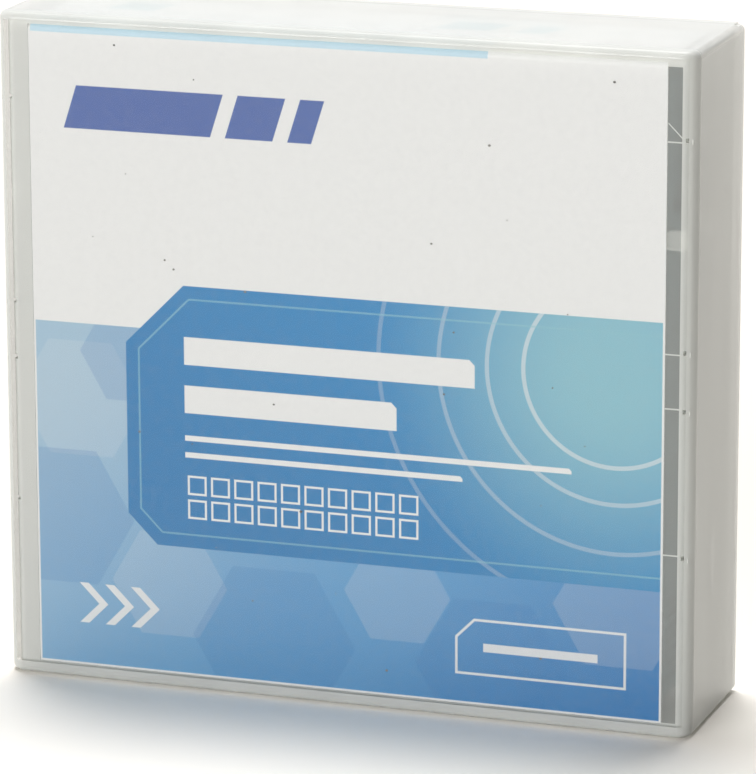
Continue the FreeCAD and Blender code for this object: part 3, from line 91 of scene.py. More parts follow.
def blendColour(tree, share, under, over):
    made = addNode(tree, "ShaderNodeMix", {"data_type": "RGBA"})
    feed(tree, made.inputs[0], share)
    feed(tree, made.inputs[6], under if isinstance(under, bpy.types.NodeSocket) else (*under, 1))
    feed(tree, made.inputs[7], over if isinstance(over, bpy.types.NodeSocket) else (*over, 1))
    return made.outputs[2]


def stretch(tree, value, low, high, newLow=0.0, newHigh=1.0):
    made = addNode(tree, "ShaderNodeMapRange", {"interpolation_type": "SMOOTHSTEP"})
    for number, item in enumerate((value, low, high, newLow, newHigh)):
        feed(tree, made.inputs[number], item)
    return made.outputs[0]


def objectSpot(tree):
    return addNode(tree, "ShaderNodeTexCoord").outputs["Object"]


def inMillimetres(tree, spot):
    scaled = addNode(tree, "ShaderNodeVectorMath", {"operation": "SCALE"}, {0: spot, "Scale": 1 / mm})
    split = addNode(tree, "ShaderNodeSeparateXYZ", inputs={0: scaled.outputs[0]})
    return split.outputs


def noiseAt(tree, spot, scale, detail=2.0, rough=0.5):
    made = addNode(tree, "ShaderNodeTexNoise",
                   inputs={"Vector": spot, "Scale": scale, "Detail": detail, "Roughness": rough})
    return made.outputs["Fac"]


def bumpFrom(tree, height, depth, strength=1.0):
    made = addNode(tree, "ShaderNodeBump",
                   inputs={"Height": height, "Distance": depth, "Strength": strength})
    return made.outputs["Normal"]


def finishWith(tree, shader):
    output = tree.nodes.new("ShaderNodeOutputMaterial")
    tree.links.new(shader, output.inputs["Surface"])


def principled(tree, **inputs):
    named = {key.replace("_", " "): value for key, value in inputs.items()}
    made = addNode(tree, "ShaderNodeBsdfPrincipled", inputs=named)
    return made.outputs[0]


def dress(node, material):
    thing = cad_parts[node]
    thing.data.materials.clear()
    thing.data.materials.append(material)


# Milky plastic of the storage case: clear where the card lies against it, cloudy elsewhere.
# The first values are depths of haze, the heights and the scratch are in millimetres.

milky = {
    "printed": 0.004,
    "frame": 0.38,
    "margin": 1.8,
    "ribHeights": (29.65, 53.35, 62.05, 95.65),
    "markFrom": 53.1,
    "scratch": (53.2, 98.6),
    "edge": 1.9,
    "side": 0.30,
    "top": 0.15,
    "back": 0.31,
    "tray": 0.12,
    "tint": (0.915, 0.924, 0.888),
    "gloss": 1.36,
    "roughFront": 0.10,
    "roughWall": 0.34,
    "throughShare": 0.14,
}


def chooseValue(tree, share, under, over):
    made = addNode(tree, "ShaderNodeMix", {"data_type": "FLOAT"})
    for number, item in ((0, share), (2, under), (3, over)):
        feed(tree, made.inputs[number], item)
    return made.outputs[0]


# Fine lines where the lid's small ribs meet its front panel, and a scratch beside the card
def marksOnPanel(tree, x, z):
    line = 0.0
    for rise in milky["ribHeights"]:
        line = calc(tree, "ADD", line, calc(tree, "COMPARE", z, rise, 0.12))
    line = calc(tree, "MULTIPLY", line, calc(tree, "GREATER_THAN", x, milky["markFrom"]))
    startX, startZ = milky["scratch"]
    slope = calc(tree, "COMPARE", calc(tree, "ADD", x, z), startX + startZ, 0.13)
    scratch = calc(tree, "MULTIPLY", slope, calc(tree, "COMPARE", x, startX + 1.4, 1.4))
    return calc(tree, "MAXIMUM", line, scratch)


# 1 within a box seen from the front, 0 outside
def withinBox(tree, x, z, left, low, right, high):
    return calc(tree, "MULTIPLY",
                calc(tree, "COMPARE", x, (left + right) / 2, (right - left) / 2),
                calc(tree, "COMPARE", z, (low + high) / 2, (high - low) / 2))


lidWall = 1.25
lidCorner = 2.6  # the walls and the fillets inside them
panelGap = 0.1  # from the card to the front panel


def cloudOfLid(tree, x, y, z):
    lidLow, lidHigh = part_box("case_lid")
    cardLow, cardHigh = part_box("insert_card")
    innerFace = cardLow.y / mm - panelGap
    left, right, top = lidLow.x / mm, lidHigh.x / mm, lidHigh.z / mm
    cardFoot = cardLow.z / mm
    outlines = {
        "card": (cardLow.x / mm, cardFoot, cardHigh.x / mm, cardHigh.z / mm - 0.6),
        "pane": (left + lidCorner, cardFoot + 0.2, right - lidCorner, top - lidCorner),
        "hollow": (left + lidWall, cardFoot + 0.05, right - lidWall, top - lidWall),
    }
    within = {name: withinBox(tree, x, z, *outline) for name, outline in outlines.items()}
    wall = stretch(tree, z, 0.0, 95.0, milky["side"] * 1.45, milky["side"])
    depth = chooseValue(tree, calc(tree, "GREATER_THAN", z, top - 1.4), wall, milky["top"])
    corner = calc(tree, "MULTIPLY", calc(tree, "LESS_THAN", y, innerFace + 1.3),
                  calc(tree, "SUBTRACT", 1.0, within["pane"]))
    depth = chooseValue(tree, corner, depth, milky["edge"])
    beside = chooseValue(tree, calc(tree, "LESS_THAN", x, 0.0), milky["frame"], milky["margin"])
    beside = chooseValue(tree, marksOnPanel(tree, x, z), beside, milky["edge"])
    inner = chooseValue(tree, within["card"], beside, milky["printed"])
    inner = chooseValue(tree, calc(tree, "MAXIMUM", within["pane"], within["card"]), milky["edge"], inner)
    depth = chooseValue(tree, calc(tree, "COMPARE", y, innerFace, 0.04), depth, inner)
    forward = calc(tree, "LESS_THAN", y, innerFace - 0.05)
    return chooseValue(tree, forward, depth,
                       chooseValue(tree, within["hollow"], milky["edge"], milky["printed"]))


def cloudOfTray(tree, x, y, z):
    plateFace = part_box("case_tray")[1].y / mm - 1.4
    return chooseValue(tree, calc(tree, "GREATER_THAN", y, plateFace), milky["tray"], milky["back"])


def makeMilkyPlastic(name, cloudOf):
    material, tree = startMaterial(name)
    spot = objectSpot(tree)
    x, y, z = inMillimetres(tree, spot)
    facing = addNode(tree, "ShaderNodeLayerWeight", inputs={"Blend": 0.5}).outputs["Facing"]
    upright = calc(tree, "MAXIMUM", calc(tree, "SUBTRACT", 1.0, facing), 0.1)
    flow = addNode(tree, "ShaderNodeMapping", inputs={"Vector": spot, "Scale": (1.0, 1.0, 0.16)})
    drift = stretch(tree, noiseAt(tree, flow.outputs[0], 120.0, 0.0), 0.3, 0.7, 0.0, 1.0)
    depth = cloudOf(tree, x, y, z)
    tone = blendColour(tree, drift, tuple(0.95 * part for part in milky["tint"]), milky["tint"])
    clearShare = calc(tree, "EXPONENT", calc(tree, "MULTIPLY", calc(tree, "DIVIDE", depth, upright), -1.0))
    seeThrough = addNode(tree, "ShaderNodeBsdfTransparent").outputs[0]
    surface = addNode(tree, "ShaderNodeBsdfDiffuse", inputs={"Color": tone}).outputs[0]
    glow = addNode(tree, "ShaderNodeBsdfTranslucent", inputs={"Color": tone}).outputs[0]
    milk = addNode(tree, "ShaderNodeMixShader",
                   inputs={0: milky["throughShare"], 1: surface, 2: glow}).outputs[0]
    bodyShader = addNode(tree, "ShaderNodeMixShader",
                         inputs={0: clearShare, 1: milk, 2: seeThrough}).outputs[0]
    onFront = calc(tree, "LESS_THAN", y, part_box("case_lid")[0].y / mm + 0.02)
    rough = chooseValue(tree, onFront, milky["roughWall"], milky["roughFront"])
    sheen = addNode(tree, "ShaderNodeBsdfGlossy",
                    inputs={"Color": (1, 1, 1, 1), "Roughness": rough}).outputs[0]
    outward = calc(tree, "SUBTRACT", 1.0, addNode(tree, "ShaderNodeNewGeometry").outputs["Backfacing"])
    mirror = calc(tree, "MULTIPLY", addNode(tree, "ShaderNodeFresnel",
                                            inputs={"IOR": milky["gloss"]}).outputs[0], outward)
    finishWith(tree, addNode(tree, "ShaderNodeMixShader",
                             inputs={0: mirror, 1: bodyShader, 2: sheen}).outputs[0])
    return material


# Print of the inlay card: plain fields, bars, boxes and hexagons, in millimetres on the card

card = {
    "paper": (0.93, 0.935, 0.925),
    "violet": (0.055, 0.125, 0.400),
    "pale": (0.40, 0.59, 0.74),
    "mid": (0.120, 0.380, 0.680),
    "low": (0.026, 0.215, 0.530),
    "deep": (0.006, 0.260, 0.580),
    "deepest": (0.003, 0.200, 0.480),
    "teal": (0.30, 0.60, 0.68),
    "stripe": (0.58, 0.78, 0.89),
    "fieldTop": 59.5,
    "margin": 0.35,
    "panel": (-37.0, 23.5, 60.0, 67.0),
    "panelCut": 10.0,
    "glowSpot": (45.0, 58.0),
    "hexagons": [(-45.0, 47.0, 11.0, 1), (-49.0, 27.0, 13.0, 0), (-30.0, 17.0, 10.0, 1),
                 (-12.0, 9.0, 14.0, 0), (9.0, 19.0, 9.0, 1), (25.0, 8.0, 13.0, 0),
                 (46.0, 20.0, 11.0, 1), (-36.0, 55.0, 9.0, 0)],
    "titleBars": [(-46.0, 91.5, -21.0, 98.5), (-18.5, 91.5, -10.5, 98.5), (-8.0, 91.5, -4.0, 98.5)],
    "panelBars": [(-27.0, 54.0, 22.0, 58.6), (-27.0, 46.0, 9.0, 50.6),
                  (-27.0, 41.4, 38.0, 42.3), (-27.0, 38.6, 20.0, 39.5)],
    "ticks": {"left": -27.0, "low": 28.0, "pitch": 4.0, "across": 10, "up": 2, "side": 2.9, "line": 0.36},
    "noteBox": (19.0, 7.0, 47.0, 16.0),
    "chevrons": [-46.0, -41.5, -37.0],
    "foldRise": 1.75,
    "spineStripe": (-53.0, -12.6, 24.0, -4.2),
    "spineBlocks": [(-44.0, 1.0, -36.0, 7.5), (12.0, 1.0, 21.0, 7.5), (25.0, 1.0, 30.0, 7.5)],
}


def boxField(tree, across, up, left, low, right, high):  # distance outside a box, negative inside
    halfWide = (right - left) / 2
    halfTall = (high - low) / 2
    side = calc(tree, "SUBTRACT", calc(tree, "ABSOLUTE", calc(tree, "SUBTRACT", across, left + halfWide)),
                halfWide)
    rise = calc(tree, "SUBTRACT", calc(tree, "ABSOLUTE", calc(tree, "SUBTRACT", up, low + halfTall)),
                halfTall)
    return calc(tree, "MAXIMUM", side, rise)


def leanedField(tree, across, up, box, lean=0.32):
    left, low, right, high = box
    moved = calc(tree, "SUBTRACT", across, calc(tree, "MULTIPLY",
                                                calc(tree, "SUBTRACT", up, (low + high) / 2), lean))
    return boxField(tree, moved, up, left, low, right, high)


# Takes a corner off a field at 45 degrees
def cutField(tree, field, across, up, cornerAcross, cornerUp, signAcross, signUp, cut):
    along = calc(tree, "MULTIPLY", calc(tree, "SUBTRACT", across, cornerAcross), signAcross)
    rise = calc(tree, "MULTIPLY", calc(tree, "SUBTRACT", up, cornerUp), signUp)
    slope = calc(tree, "DIVIDE", calc(tree, "ADD", calc(tree, "ADD", along, rise), cut), math.sqrt(2))
    return calc(tree, "MAXIMUM", field, slope)


def hexField(tree, across, up, centreAcross, centreUp, radius):
    side = calc(tree, "ABSOLUTE", calc(tree, "SUBTRACT", across, centreAcross))
    rise = calc(tree, "ABSOLUTE", calc(tree, "SUBTRACT", up, centreUp))
    slanted = calc(tree, "ADD", calc(tree, "MULTIPLY", side, math.sqrt(3) / 2),
                   calc(tree, "MULTIPLY", rise, 0.5))
    return calc(tree, "SUBTRACT", calc(tree, "MAXIMUM", slanted, rise), radius * math.sqrt(3) / 2)


def spotDistance(tree, across, up, spot):
    side = calc(tree, "SUBTRACT", across, spot[0])
    rise = calc(tree, "SUBTRACT", up, spot[1])
    return calc(tree, "SQRT", calc(tree, "ADD", calc(tree, "MULTIPLY", side, side),
                                   calc(tree, "MULTIPLY", rise, rise)))


def inked(tree, field, soft=0.07):
    return stretch(tree, field, soft, -soft)


def lineOn(tree, field, wide):
    return inked(tree, calc(tree, "SUBTRACT", calc(tree, "ABSOLUTE", field), wide / 2))


def paintLowerField(tree, x, z, under):
    slope = calc(tree, "SUBTRACT", calc(tree, "MULTIPLY", x, 0.8), z)
    base = blendColour(tree, stretch(tree, slope, -95.0, -10.0), card["pale"], card["mid"])
    base = blendColour(tree, stretch(tree, slope, -25.0, 45.0), base, card["low"])
    for across, up, radius, isLight in card["hexagons"]:
        share = inked(tree, hexField(tree, x, z, across, up, radius))
        tone = card["paper"] if isLight else card["low"]
        base = blendColour(tree, calc(tree, "MULTIPLY", share, 0.13 if isLight else 0.26), base, tone)
    edge = inked(tree, calc(tree, "SUBTRACT", z, card["fieldTop"]))
    return blendColour(tree, edge, under, base)


def paintNoteBox(tree, x, z, under):
    left, low, right, high = card["noteBox"]
    frameField = cutField(tree, boxField(tree, x, z, left, low, right, high), x, z, left, high, -1, 1, 3.0)
    shares = [lineOn(tree, frameField, 0.42),
              inked(tree, boxField(tree, x, z, left + 4.5, low + 3.8, right - 4.5, high - 3.8))]
    for start in card["chevrons"]:
        rise = calc(tree, "ABSOLUTE", calc(tree, "SUBTRACT", z, 12.5))
        along = calc(tree, "ADD", calc(tree, "SUBTRACT", x, start), rise)
        bend = calc(tree, "SUBTRACT", calc(tree, "ABSOLUTE", calc(tree, "SUBTRACT", along, 4.4)), 0.8)
        shares.append(inked(tree, calc(tree, "MAXIMUM", bend, calc(tree, "SUBTRACT", rise, 3.4))))
    for share in shares:
        under = blendColour(tree, calc(tree, "MULTIPLY", share, 0.92), under, card["paper"])
    return under


def paintTicks(tree, x, z):
    ticks = card["ticks"]
    cellX = calc(tree, "SUBTRACT", calc(tree, "WRAP", calc(tree, "SUBTRACT", x, ticks["left"]),
                                        ticks["pitch"], 0.0), ticks["pitch"] / 2)
    cellZ = calc(tree, "SUBTRACT", calc(tree, "WRAP", calc(tree, "SUBTRACT", z, ticks["low"]),
                                        ticks["pitch"], 0.0), ticks["pitch"] / 2)
    half = ticks["side"] / 2
    square = boxField(tree, cellX, cellZ, -half, -half, half, half)
    whole = inked(tree, boxField(tree, x, z, ticks["left"], ticks["low"],
                                 ticks["left"] + ticks["across"] * ticks["pitch"],
                                 ticks["low"] + ticks["up"] * ticks["pitch"]))
    return calc(tree, "MULTIPLY", lineOn(tree, square, ticks["line"]), whole)


def paintPanel(tree, x, z, under):
    left, low, right, high = card["panel"]
    field = boxField(tree, x, z, left, low, right, high)
    field = cutField(tree, field, x, z, left, high, -1, 1, card["panelCut"])
    field = cutField(tree, field, x, z, left, low, -1, -1, card["panelCut"] / 2)
    fall = stretch(tree, calc(tree, "ADD", x, z), -10.0, 110.0)
    base = blendColour(tree, fall, card["deepest"], card["deep"])
    reach = spotDistance(tree, x, z, card["glowSpot"])
    lit = calc(tree, "MULTIPLY", stretch(tree, reach, 44.0, 4.0), 0.92)
    base = blendColour(tree, lit, base, card["teal"])
    for radius, share in ((15.0, 0.5), (21.0, 0.38), (29.0, 0.26), (39.0, 0.18)):
        ring = lineOn(tree, calc(tree, "SUBTRACT", reach, radius), 0.7)
        base = blendColour(tree, calc(tree, "MULTIPLY", ring, share), base, card["paper"])
    inner = lineOn(tree, calc(tree, "ADD", field, 2.2), 0.3)
    base = blendColour(tree, calc(tree, "MULTIPLY", inner, 0.55), base, card["teal"])
    for bar in card["panelBars"]:
        corner = min(0.9, (bar[3] - bar[1]) / 2.2)
        plain = boxField(tree, x, z, *bar)
        rounded = cutField(tree, plain, x, z, bar[2], bar[3], 1, 1, corner)
        base = blendColour(tree, inked(tree, rounded), base, card["paper"])
    base = blendColour(tree, paintTicks(tree, x, z), base, card["paper"])
    return blendColour(tree, inked(tree, field), under, base)


def paintSpine(tree, x, y, under):
    left, low, right, high = card["spineStripe"]
    stripe = inked(tree, boxField(tree, x, y, left, low, right, high))
    under = blendColour(tree, stripe, under, card["stripe"])
    for block in card["spineBlocks"]:
        under = blendColour(tree, inked(tree, leanedField(tree, x, y, block)), under, card["teal"])
    return under


def makeCardPrint():
    material, tree = startMaterial("inlayCard")
    spot = objectSpot(tree)
    x, y, z = inMillimetres(tree, spot)
    front = paintLowerField(tree, x, z, card["paper"])
    front = paintNoteBox(tree, x, z, front)
    front = paintPanel(tree, x, z, front)
    for bar in card["titleBars"]:
        front = blendColour(tree, inked(tree, leanedField(tree, x, z, bar)), front, card["violet"])
    lowest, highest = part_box("insert_card")
    left, low, right, high = lowest.x / mm, lowest.z / mm, highest.x / mm, highest.z / mm
    foldStripe = boxField(tree, x, z, left, high - card["foldRise"], card["spineStripe"][2], high + 5.0)
    front = blendColour(tree, inked(tree, foldStripe), front, card["stripe"])
    margin = card["margin"]
    trimmed = boxField(tree, x, z, left + margin, low + margin, right - margin, high + 5.0)
    front = blendColour(tree, inked(tree, trimmed), card["paper"], front)
    spine = paintSpine(tree, x, y, card["paper"])
    outward = addNode(tree, "ShaderNodeSeparateXYZ", inputs={
        0: addNode(tree, "ShaderNodeTexCoord").outputs["Normal"]}).outputs
    faceOn = calc(tree, "LESS_THAN", outward[1], -0.35)
    spineOn = calc(tree, "MULTIPLY", calc(tree, "GREATER_THAN", outward[2], 0.35),
                   calc(tree, "SUBTRACT", 1.0, faceOn))
    colour = blendColour(tree, faceOn, card["paper"], front)
    colour = blendColour(tree, spineOn, colour, spine)
    fibre = noiseAt(tree, spot, 900.0, 4.0, 0.6)
    colour = blendColour(tree, stretch(tree, fibre, 0.35, 0.75, 0.0, 0.06), colour, (0.55, 0.56, 0.58))
    surface = principled(tree, Base_Color=colour, Roughness=0.5, Normal=bumpFrom(tree, fibre, 0.00002, 0.3))
    finishWith(tree, surface)
    return material


# Moulded and metal parts of the cartridge

# Teal-grey moulded plastic with a fine spark-eroded texture
def makeShellPlastic():
    material, tree = startMaterial("shellPlastic")
    spot = objectSpot(tree)
    pits = noiseAt(tree, spot, 3200.0, 2.0, 0.6)
    cloud = noiseAt(tree, spot, 60.0, 3.0)
    colour = blendColour(tree, stretch(tree, cloud, 0.3, 0.7), (0.051, 0.124, 0.142), (0.055, 0.131, 0.149))
    colour = blendColour(tree, stretch(tree, pits, 0.45, 0.8, 0.0, 0.3), colour, (0.11, 0.20, 0.205))
    rough = stretch(tree, pits, 0.2, 0.8, 0.42, 0.62)
    finishWith(tree, principled(tree, Base_Color=colour, Roughness=rough,
                                Normal=bumpFrom(tree, pits, 0.00004, 0.55)))
    return material


def makeSmoothPlastic(name, dark, light, rough, grainScale=1800.0):
    material, tree = startMaterial(name)
    spot = objectSpot(tree)
    grain = noiseAt(tree, spot, grainScale, 2.0)
    cloud = noiseAt(tree, spot, 90.0, 2.0)
    colour = blendColour(tree, stretch(tree, cloud, 0.3, 0.7), dark, light)
    patchy = stretch(tree, grain, 0.2, 0.8, rough * 0.85, rough * 1.2)
    finishWith(tree, principled(tree, Base_Color=colour, Roughness=patchy,
                                Normal=bumpFrom(tree, grain, 0.00002, 0.3)))
    return material


# Steel with fine marks: turned about an axis along Y, or drawn along Z
def makeSteel(name, colour, rough, turnedAbout=None):
    material, tree = startMaterial(name)
    spot = objectSpot(tree)
    if turnedAbout:
        x, y, z = inMillimetres(tree, spot)
        reach = spotDistance(tree, x, z, turnedAbout)
        rings = addNode(tree, "ShaderNodeCombineXYZ", inputs={0: reach})
        marks = noiseAt(tree, rings.outputs[0], 9.0, 4.0, 0.7)
    else:
        drawn = addNode(tree, "ShaderNodeMapping", inputs={"Vector": spot, "Scale": (1.0, 1.0, 0.08)})
        marks = noiseAt(tree, drawn.outputs[0], 4200.0, 3.0, 0.6)
    shade = tuple(0.7 * part for part in colour)
    tone = blendColour(tree, stretch(tree, marks, 0.3, 0.7), shade, colour)
    finishWith(tree, principled(tree, Base_Color=tone, Metallic=1.0,
                                Roughness=stretch(tree, marks, 0.2, 0.8, rough * 0.7, rough * 1.3),
                                Normal=bumpFrom(tree, marks, 0.00002, 0.4)))
    return material


# Dark tape: fine rings where the edges of its turns show
def makeTapeFilm(reelSpot):
    material, tree = startMaterial("tapeFilm")
    spot = objectSpot(tree)
    x, y, z = inMillimetres(tree, spot)
    reach = spotDistance(tree, x, z, reelSpot)
    rings = addNode(tree, "ShaderNodeCombineXYZ", inputs={0: reach})
    fine = noiseAt(tree, rings.outputs[0], 14.0, 5.0, 0.75)
    wide = noiseAt(tree, rings.outputs[0], 1.1, 2.0)
    colour = blendColour(tree, stretch(tree, fine, 0.3, 0.7), (0.010, 0.008, 0.007), (0.040, 0.031, 0.026))
    colour = blendColour(tree, stretch(tree, wide, 0.45, 0.7, 0.0, 0.5), colour, (0.055, 0.044, 0.038))
    rough = stretch(tree, fine, 0.2, 0.8, 0.22, 0.45)
    finishWith(tree, principled(tree, Base_Color=colour, Roughness=rough,
                                Normal=bumpFrom(tree, fine, 0.00003, 0.5)))
    return material


def makeLabelPaper():
    material, tree = startMaterial("labelPaper")
    spot = objectSpot(tree)
    fibre = noiseAt(tree, spot, 1100.0, 5.0, 0.65)
    colour = blendColour(tree, stretch(tree, fibre, 0.3, 0.75), (0.78, 0.78, 0.76), (0.66, 0.66, 0.63))
    finishWith(tree, principled(tree, Base_Color=colour, Roughness=0.62,
                                Normal=bumpFrom(tree, fibre, 0.00002, 0.5)))
    return material


# Green board with a loop of thin tracks round a black potted die
def makeBoard(boardSpot):
    material, tree = startMaterial("board")
    spot = objectSpot(tree)
    x, y, z = inMillimetres(tree, spot)
    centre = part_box("memory_chip")
    middleY = (centre[0].y + centre[1].y) / 2 / mm
    along = calc(tree, "DIVIDE", calc(tree, "ADD", calc(tree, "SUBTRACT", x, boardSpot[0]),
                                      calc(tree, "SUBTRACT", z, boardSpot[1])), math.sqrt(2))
    through = calc(tree, "DIVIDE", calc(tree, "SUBTRACT", calc(tree, "SUBTRACT", z, boardSpot[1]),
                                        calc(tree, "SUBTRACT", x, boardSpot[0])), math.sqrt(2))
    field = boxField(tree, along, calc(tree, "SUBTRACT", y, middleY), -4.2, -4.7, 4.2, 4.7)
    loops = calc(tree, "SUBTRACT", calc(tree, "PINGPONG", field, 0.22), 0.1)
    track = calc(tree, "MULTIPLY", inked(tree, loops, 0.03),
                 calc(tree, "MULTIPLY", calc(tree, "GREATER_THAN", field, -1.6),
                      calc(tree, "LESS_THAN", field, 0.0)))
    weave = noiseAt(tree, spot, 1500.0, 2.0)
    colour = blendColour(tree, stretch(tree, weave, 0.3, 0.7), (0.012, 0.085, 0.040), (0.018, 0.115, 0.055))
    colour = blendColour(tree, track, colour, (0.10, 0.24, 0.10))
    die = calc(tree, "GREATER_THAN", through, 0.42)
    colour = blendColour(tree, die, colour, (0.012, 0.012, 0.013))
    rough = stretch(tree, weave, 0.2, 0.8, 0.28, 0.42)
    finishWith(tree, principled(tree, Base_Color=colour, Roughness=rough,
                                Normal=bumpFrom(tree, track, 0.00002, 0.4)))
    return material


# Geometry node trees

def startTree(name, inputs):  # inputs are pairs of a name and a socket type
    tree = bpy.data.node_groups.new(name, "GeometryNodeTree")
    tree.interface.new_socket("Geometry", in_out="OUTPUT", socket_type="NodeSocketGeometry")
    for label, kind in inputs:
        tree.interface.new_socket(label, in_out="INPUT", socket_type=kind)
    given = tree.nodes.new("NodeGroupInput")
    return tree, given.outputs


def endTree(tree, geometry, material):
    real = addNode(tree, "GeometryNodeRealizeInstances", inputs={0: geometry})
    painted = addNode(tree, "GeometryNodeSetMaterial", inputs={"Geometry": real.outputs[0]})
    painted.inputs["Material"].default_value = material
    output = tree.nodes.new("NodeGroupOutput")
    tree.links.new(painted.outputs[0], output.inputs[0])


# The mesh that a tree makes with these values, as a plain object at the origin
def growPiece(name, tree, values):
    seed = bpy.data.objects.new(name + "Seed", bpy.data.meshes.new(name + "Seed"))
    bpy.context.scene.collection.objects.link(seed)
    modifier = seed.modifiers.new("grow", "NODES")
    modifier.node_group = tree
    for item in tree.interface.items_tree:
        if item.in_out == "INPUT" and item.name in values:
            modifier[item.identifier] = values[item.name]
    ready = seed.evaluated_get(bpy.context.evaluated_depsgraph_get())
    mesh = bpy.data.meshes.new_from_object(ready)
    bpy.data.objects.remove(seed)
    piece = bpy.data.objects.new(name, mesh)
    bpy.context.scene.collection.objects.link(piece)
    return piece


# A wire wound about Z from the origin up, with a closed turn at each end
def coilTree(material):
    tree, given = startTree("coil", [("Radius", "NodeSocketFloat"), ("Wire", "NodeSocketFloat"),
                                     ("Turns", "NodeSocketFloat"), ("Length", "NodeSocketFloat"),
                                     ("End pitch", "NodeSocketFloat")])
    radius, wire, turns, length, endPitch = (given[name] for name in
                                             ("Radius", "Wire", "Turns", "Length", "End pitch"))
    stepsPerTurn = 28
    line = tree.nodes.new("GeometryNodeCurvePrimitiveLine")
    count = calc(tree, "ADD", calc(tree, "MULTIPLY", turns, stepsPerTurn), 1.0)
    points = addNode(tree, "GeometryNodeResampleCurve", inputs={"Curve": line.outputs[0], "Count": count})
    turn = calc(tree, "DIVIDE", tree.nodes.new("GeometryNodeInputIndex").outputs[0], stepsPerTurn)
    angle = calc(tree, "MULTIPLY", turn, 2 * math.pi)
    middleTurns = calc(tree, "SUBTRACT", turns, 2.0)
    spare = calc(tree, "SUBTRACT", length, calc(tree, "MULTIPLY", calc(tree, "ADD", wire, endPitch), 2.0))
    midPitch = calc(tree, "DIVIDE", spare, middleTurns)
    firstPart = calc(tree, "MULTIPLY", calc(tree, "MINIMUM", turn, 1.0), endPitch)
    middlePart = calc(tree, "MULTIPLY", calc(tree, "MINIMUM", calc(
        tree, "MAXIMUM", calc(tree, "SUBTRACT", turn, 1.0), 0.0), middleTurns), midPitch)
    lastPart = calc(tree, "MULTIPLY", calc(tree, "MAXIMUM", calc(tree, "SUBTRACT", turn, calc(
        tree, "SUBTRACT", turns, 1.0)), 0.0), endPitch)
    rise = calc(tree, "ADD", calc(tree, "ADD", wire, firstPart), calc(tree, "ADD", middlePart, lastPart))
    place = addNode(tree, "ShaderNodeCombineXYZ", inputs={
        0: calc(tree, "MULTIPLY", radius, calc(tree, "COSINE", angle)),
        1: calc(tree, "MULTIPLY", radius, calc(tree, "SINE", angle)), 2: rise})
    wound = addNode(tree, "GeometryNodeSetPosition",
                    inputs={"Geometry": points.outputs[0], "Position": place.outputs[0]})
    section = addNode(tree, "GeometryNodeCurvePrimitiveCircle", inputs={"Resolution": 12, "Radius": wire})
    tube = addNode(tree, "GeometryNodeCurveToMesh", inputs={
        "Curve": wound.outputs[0], "Profile Curve": section.outputs[0], "Fill Caps": True})
    endTree(tree, tube.outputs[0], material)
    return tree


# Turns a mesh about X and moves it, with its object left at the origin
def placeMesh(piece, turnX, move):
    piece.data.transform(Matrix.Translation(move)
                         @ Matrix.Rotation(turnX, 4, "X"))
    for face in piece.data.polygons:
        face.use_smooth = True


springs = {
    "brake_spring": {"Wire": 0.5 * mm, "Turns": 4.0, "End pitch": 1.1 * mm,
                     "joint": "brake_lift", "travel": 1.9 * mm},
    "door_spring": {"Wire": 0.2 * mm, "Turns": 9.0, "End pitch": 0.5 * mm,
                    "joint": "door_slide", "travel": 18.5 * mm},
}


def makeSprings(steel):
    tree = coilTree(steel)
    for node, facts in springs.items():
        low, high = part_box(node)
        alongY = node == "brake_spring"
        length = high.y - low.y if alongY else high.z - low.z
        values = {name: facts[name] for name in ("Wire", "Turns", "End pitch")}
        values["Radius"] = (high.x - low.x) / 2 - facts["Wire"]
        values["Length"] = length
        piece = growPiece(node + "_coil", tree, values)
        middle = (low + high) / 2
        if alongY:
            placeMesh(piece, math.pi / 2, Vector((middle.x, high.y, middle.z)))
        else:
            placeMesh(piece, 0.0, Vector((middle.x, middle.y, low.z)))
        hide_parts(node)
        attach(piece, "case_base")
        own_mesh(piece)


# Hinge film, a straight strip of sixteen rows between the two halves of the case

def makeHingeFilm(material):
    low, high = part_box("hinge_film")
    rows = 16
    vertices = []
    for row in range(rows + 1):
        y = low.y + (high.y - low.y) * row / rows
        vertices += [(low.x, y, low.z), (high.x, y, low.z), (high.x, y, high.z), (low.x, y, high.z)]
    faces = [(0, 1, 2, 3), tuple(4 * rows + k for k in (3, 2, 1, 0))]
    for row in range(rows):
        a, b = 4 * row, 4 * row + 4
        faces += [(a + k, b + k, b + (k + 1) % 4, a + (k + 1) % 4) for k in range(4)]
    mesh = bpy.data.meshes.new("hinge_film_strip")
    mesh.from_pydata(vertices, [], faces)
    mesh.materials.append(material)
    piece = bpy.data.objects.new("hinge_film_strip", mesh)
    bpy.context.scene.collection.objects.link(piece)
    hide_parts("hinge_film")
    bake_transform(piece)


# Dust caught between the card and the front panel

dust = {"count": 26.0, "least": 0.10 * mm, "most": 0.26 * mm, "seed": 11}


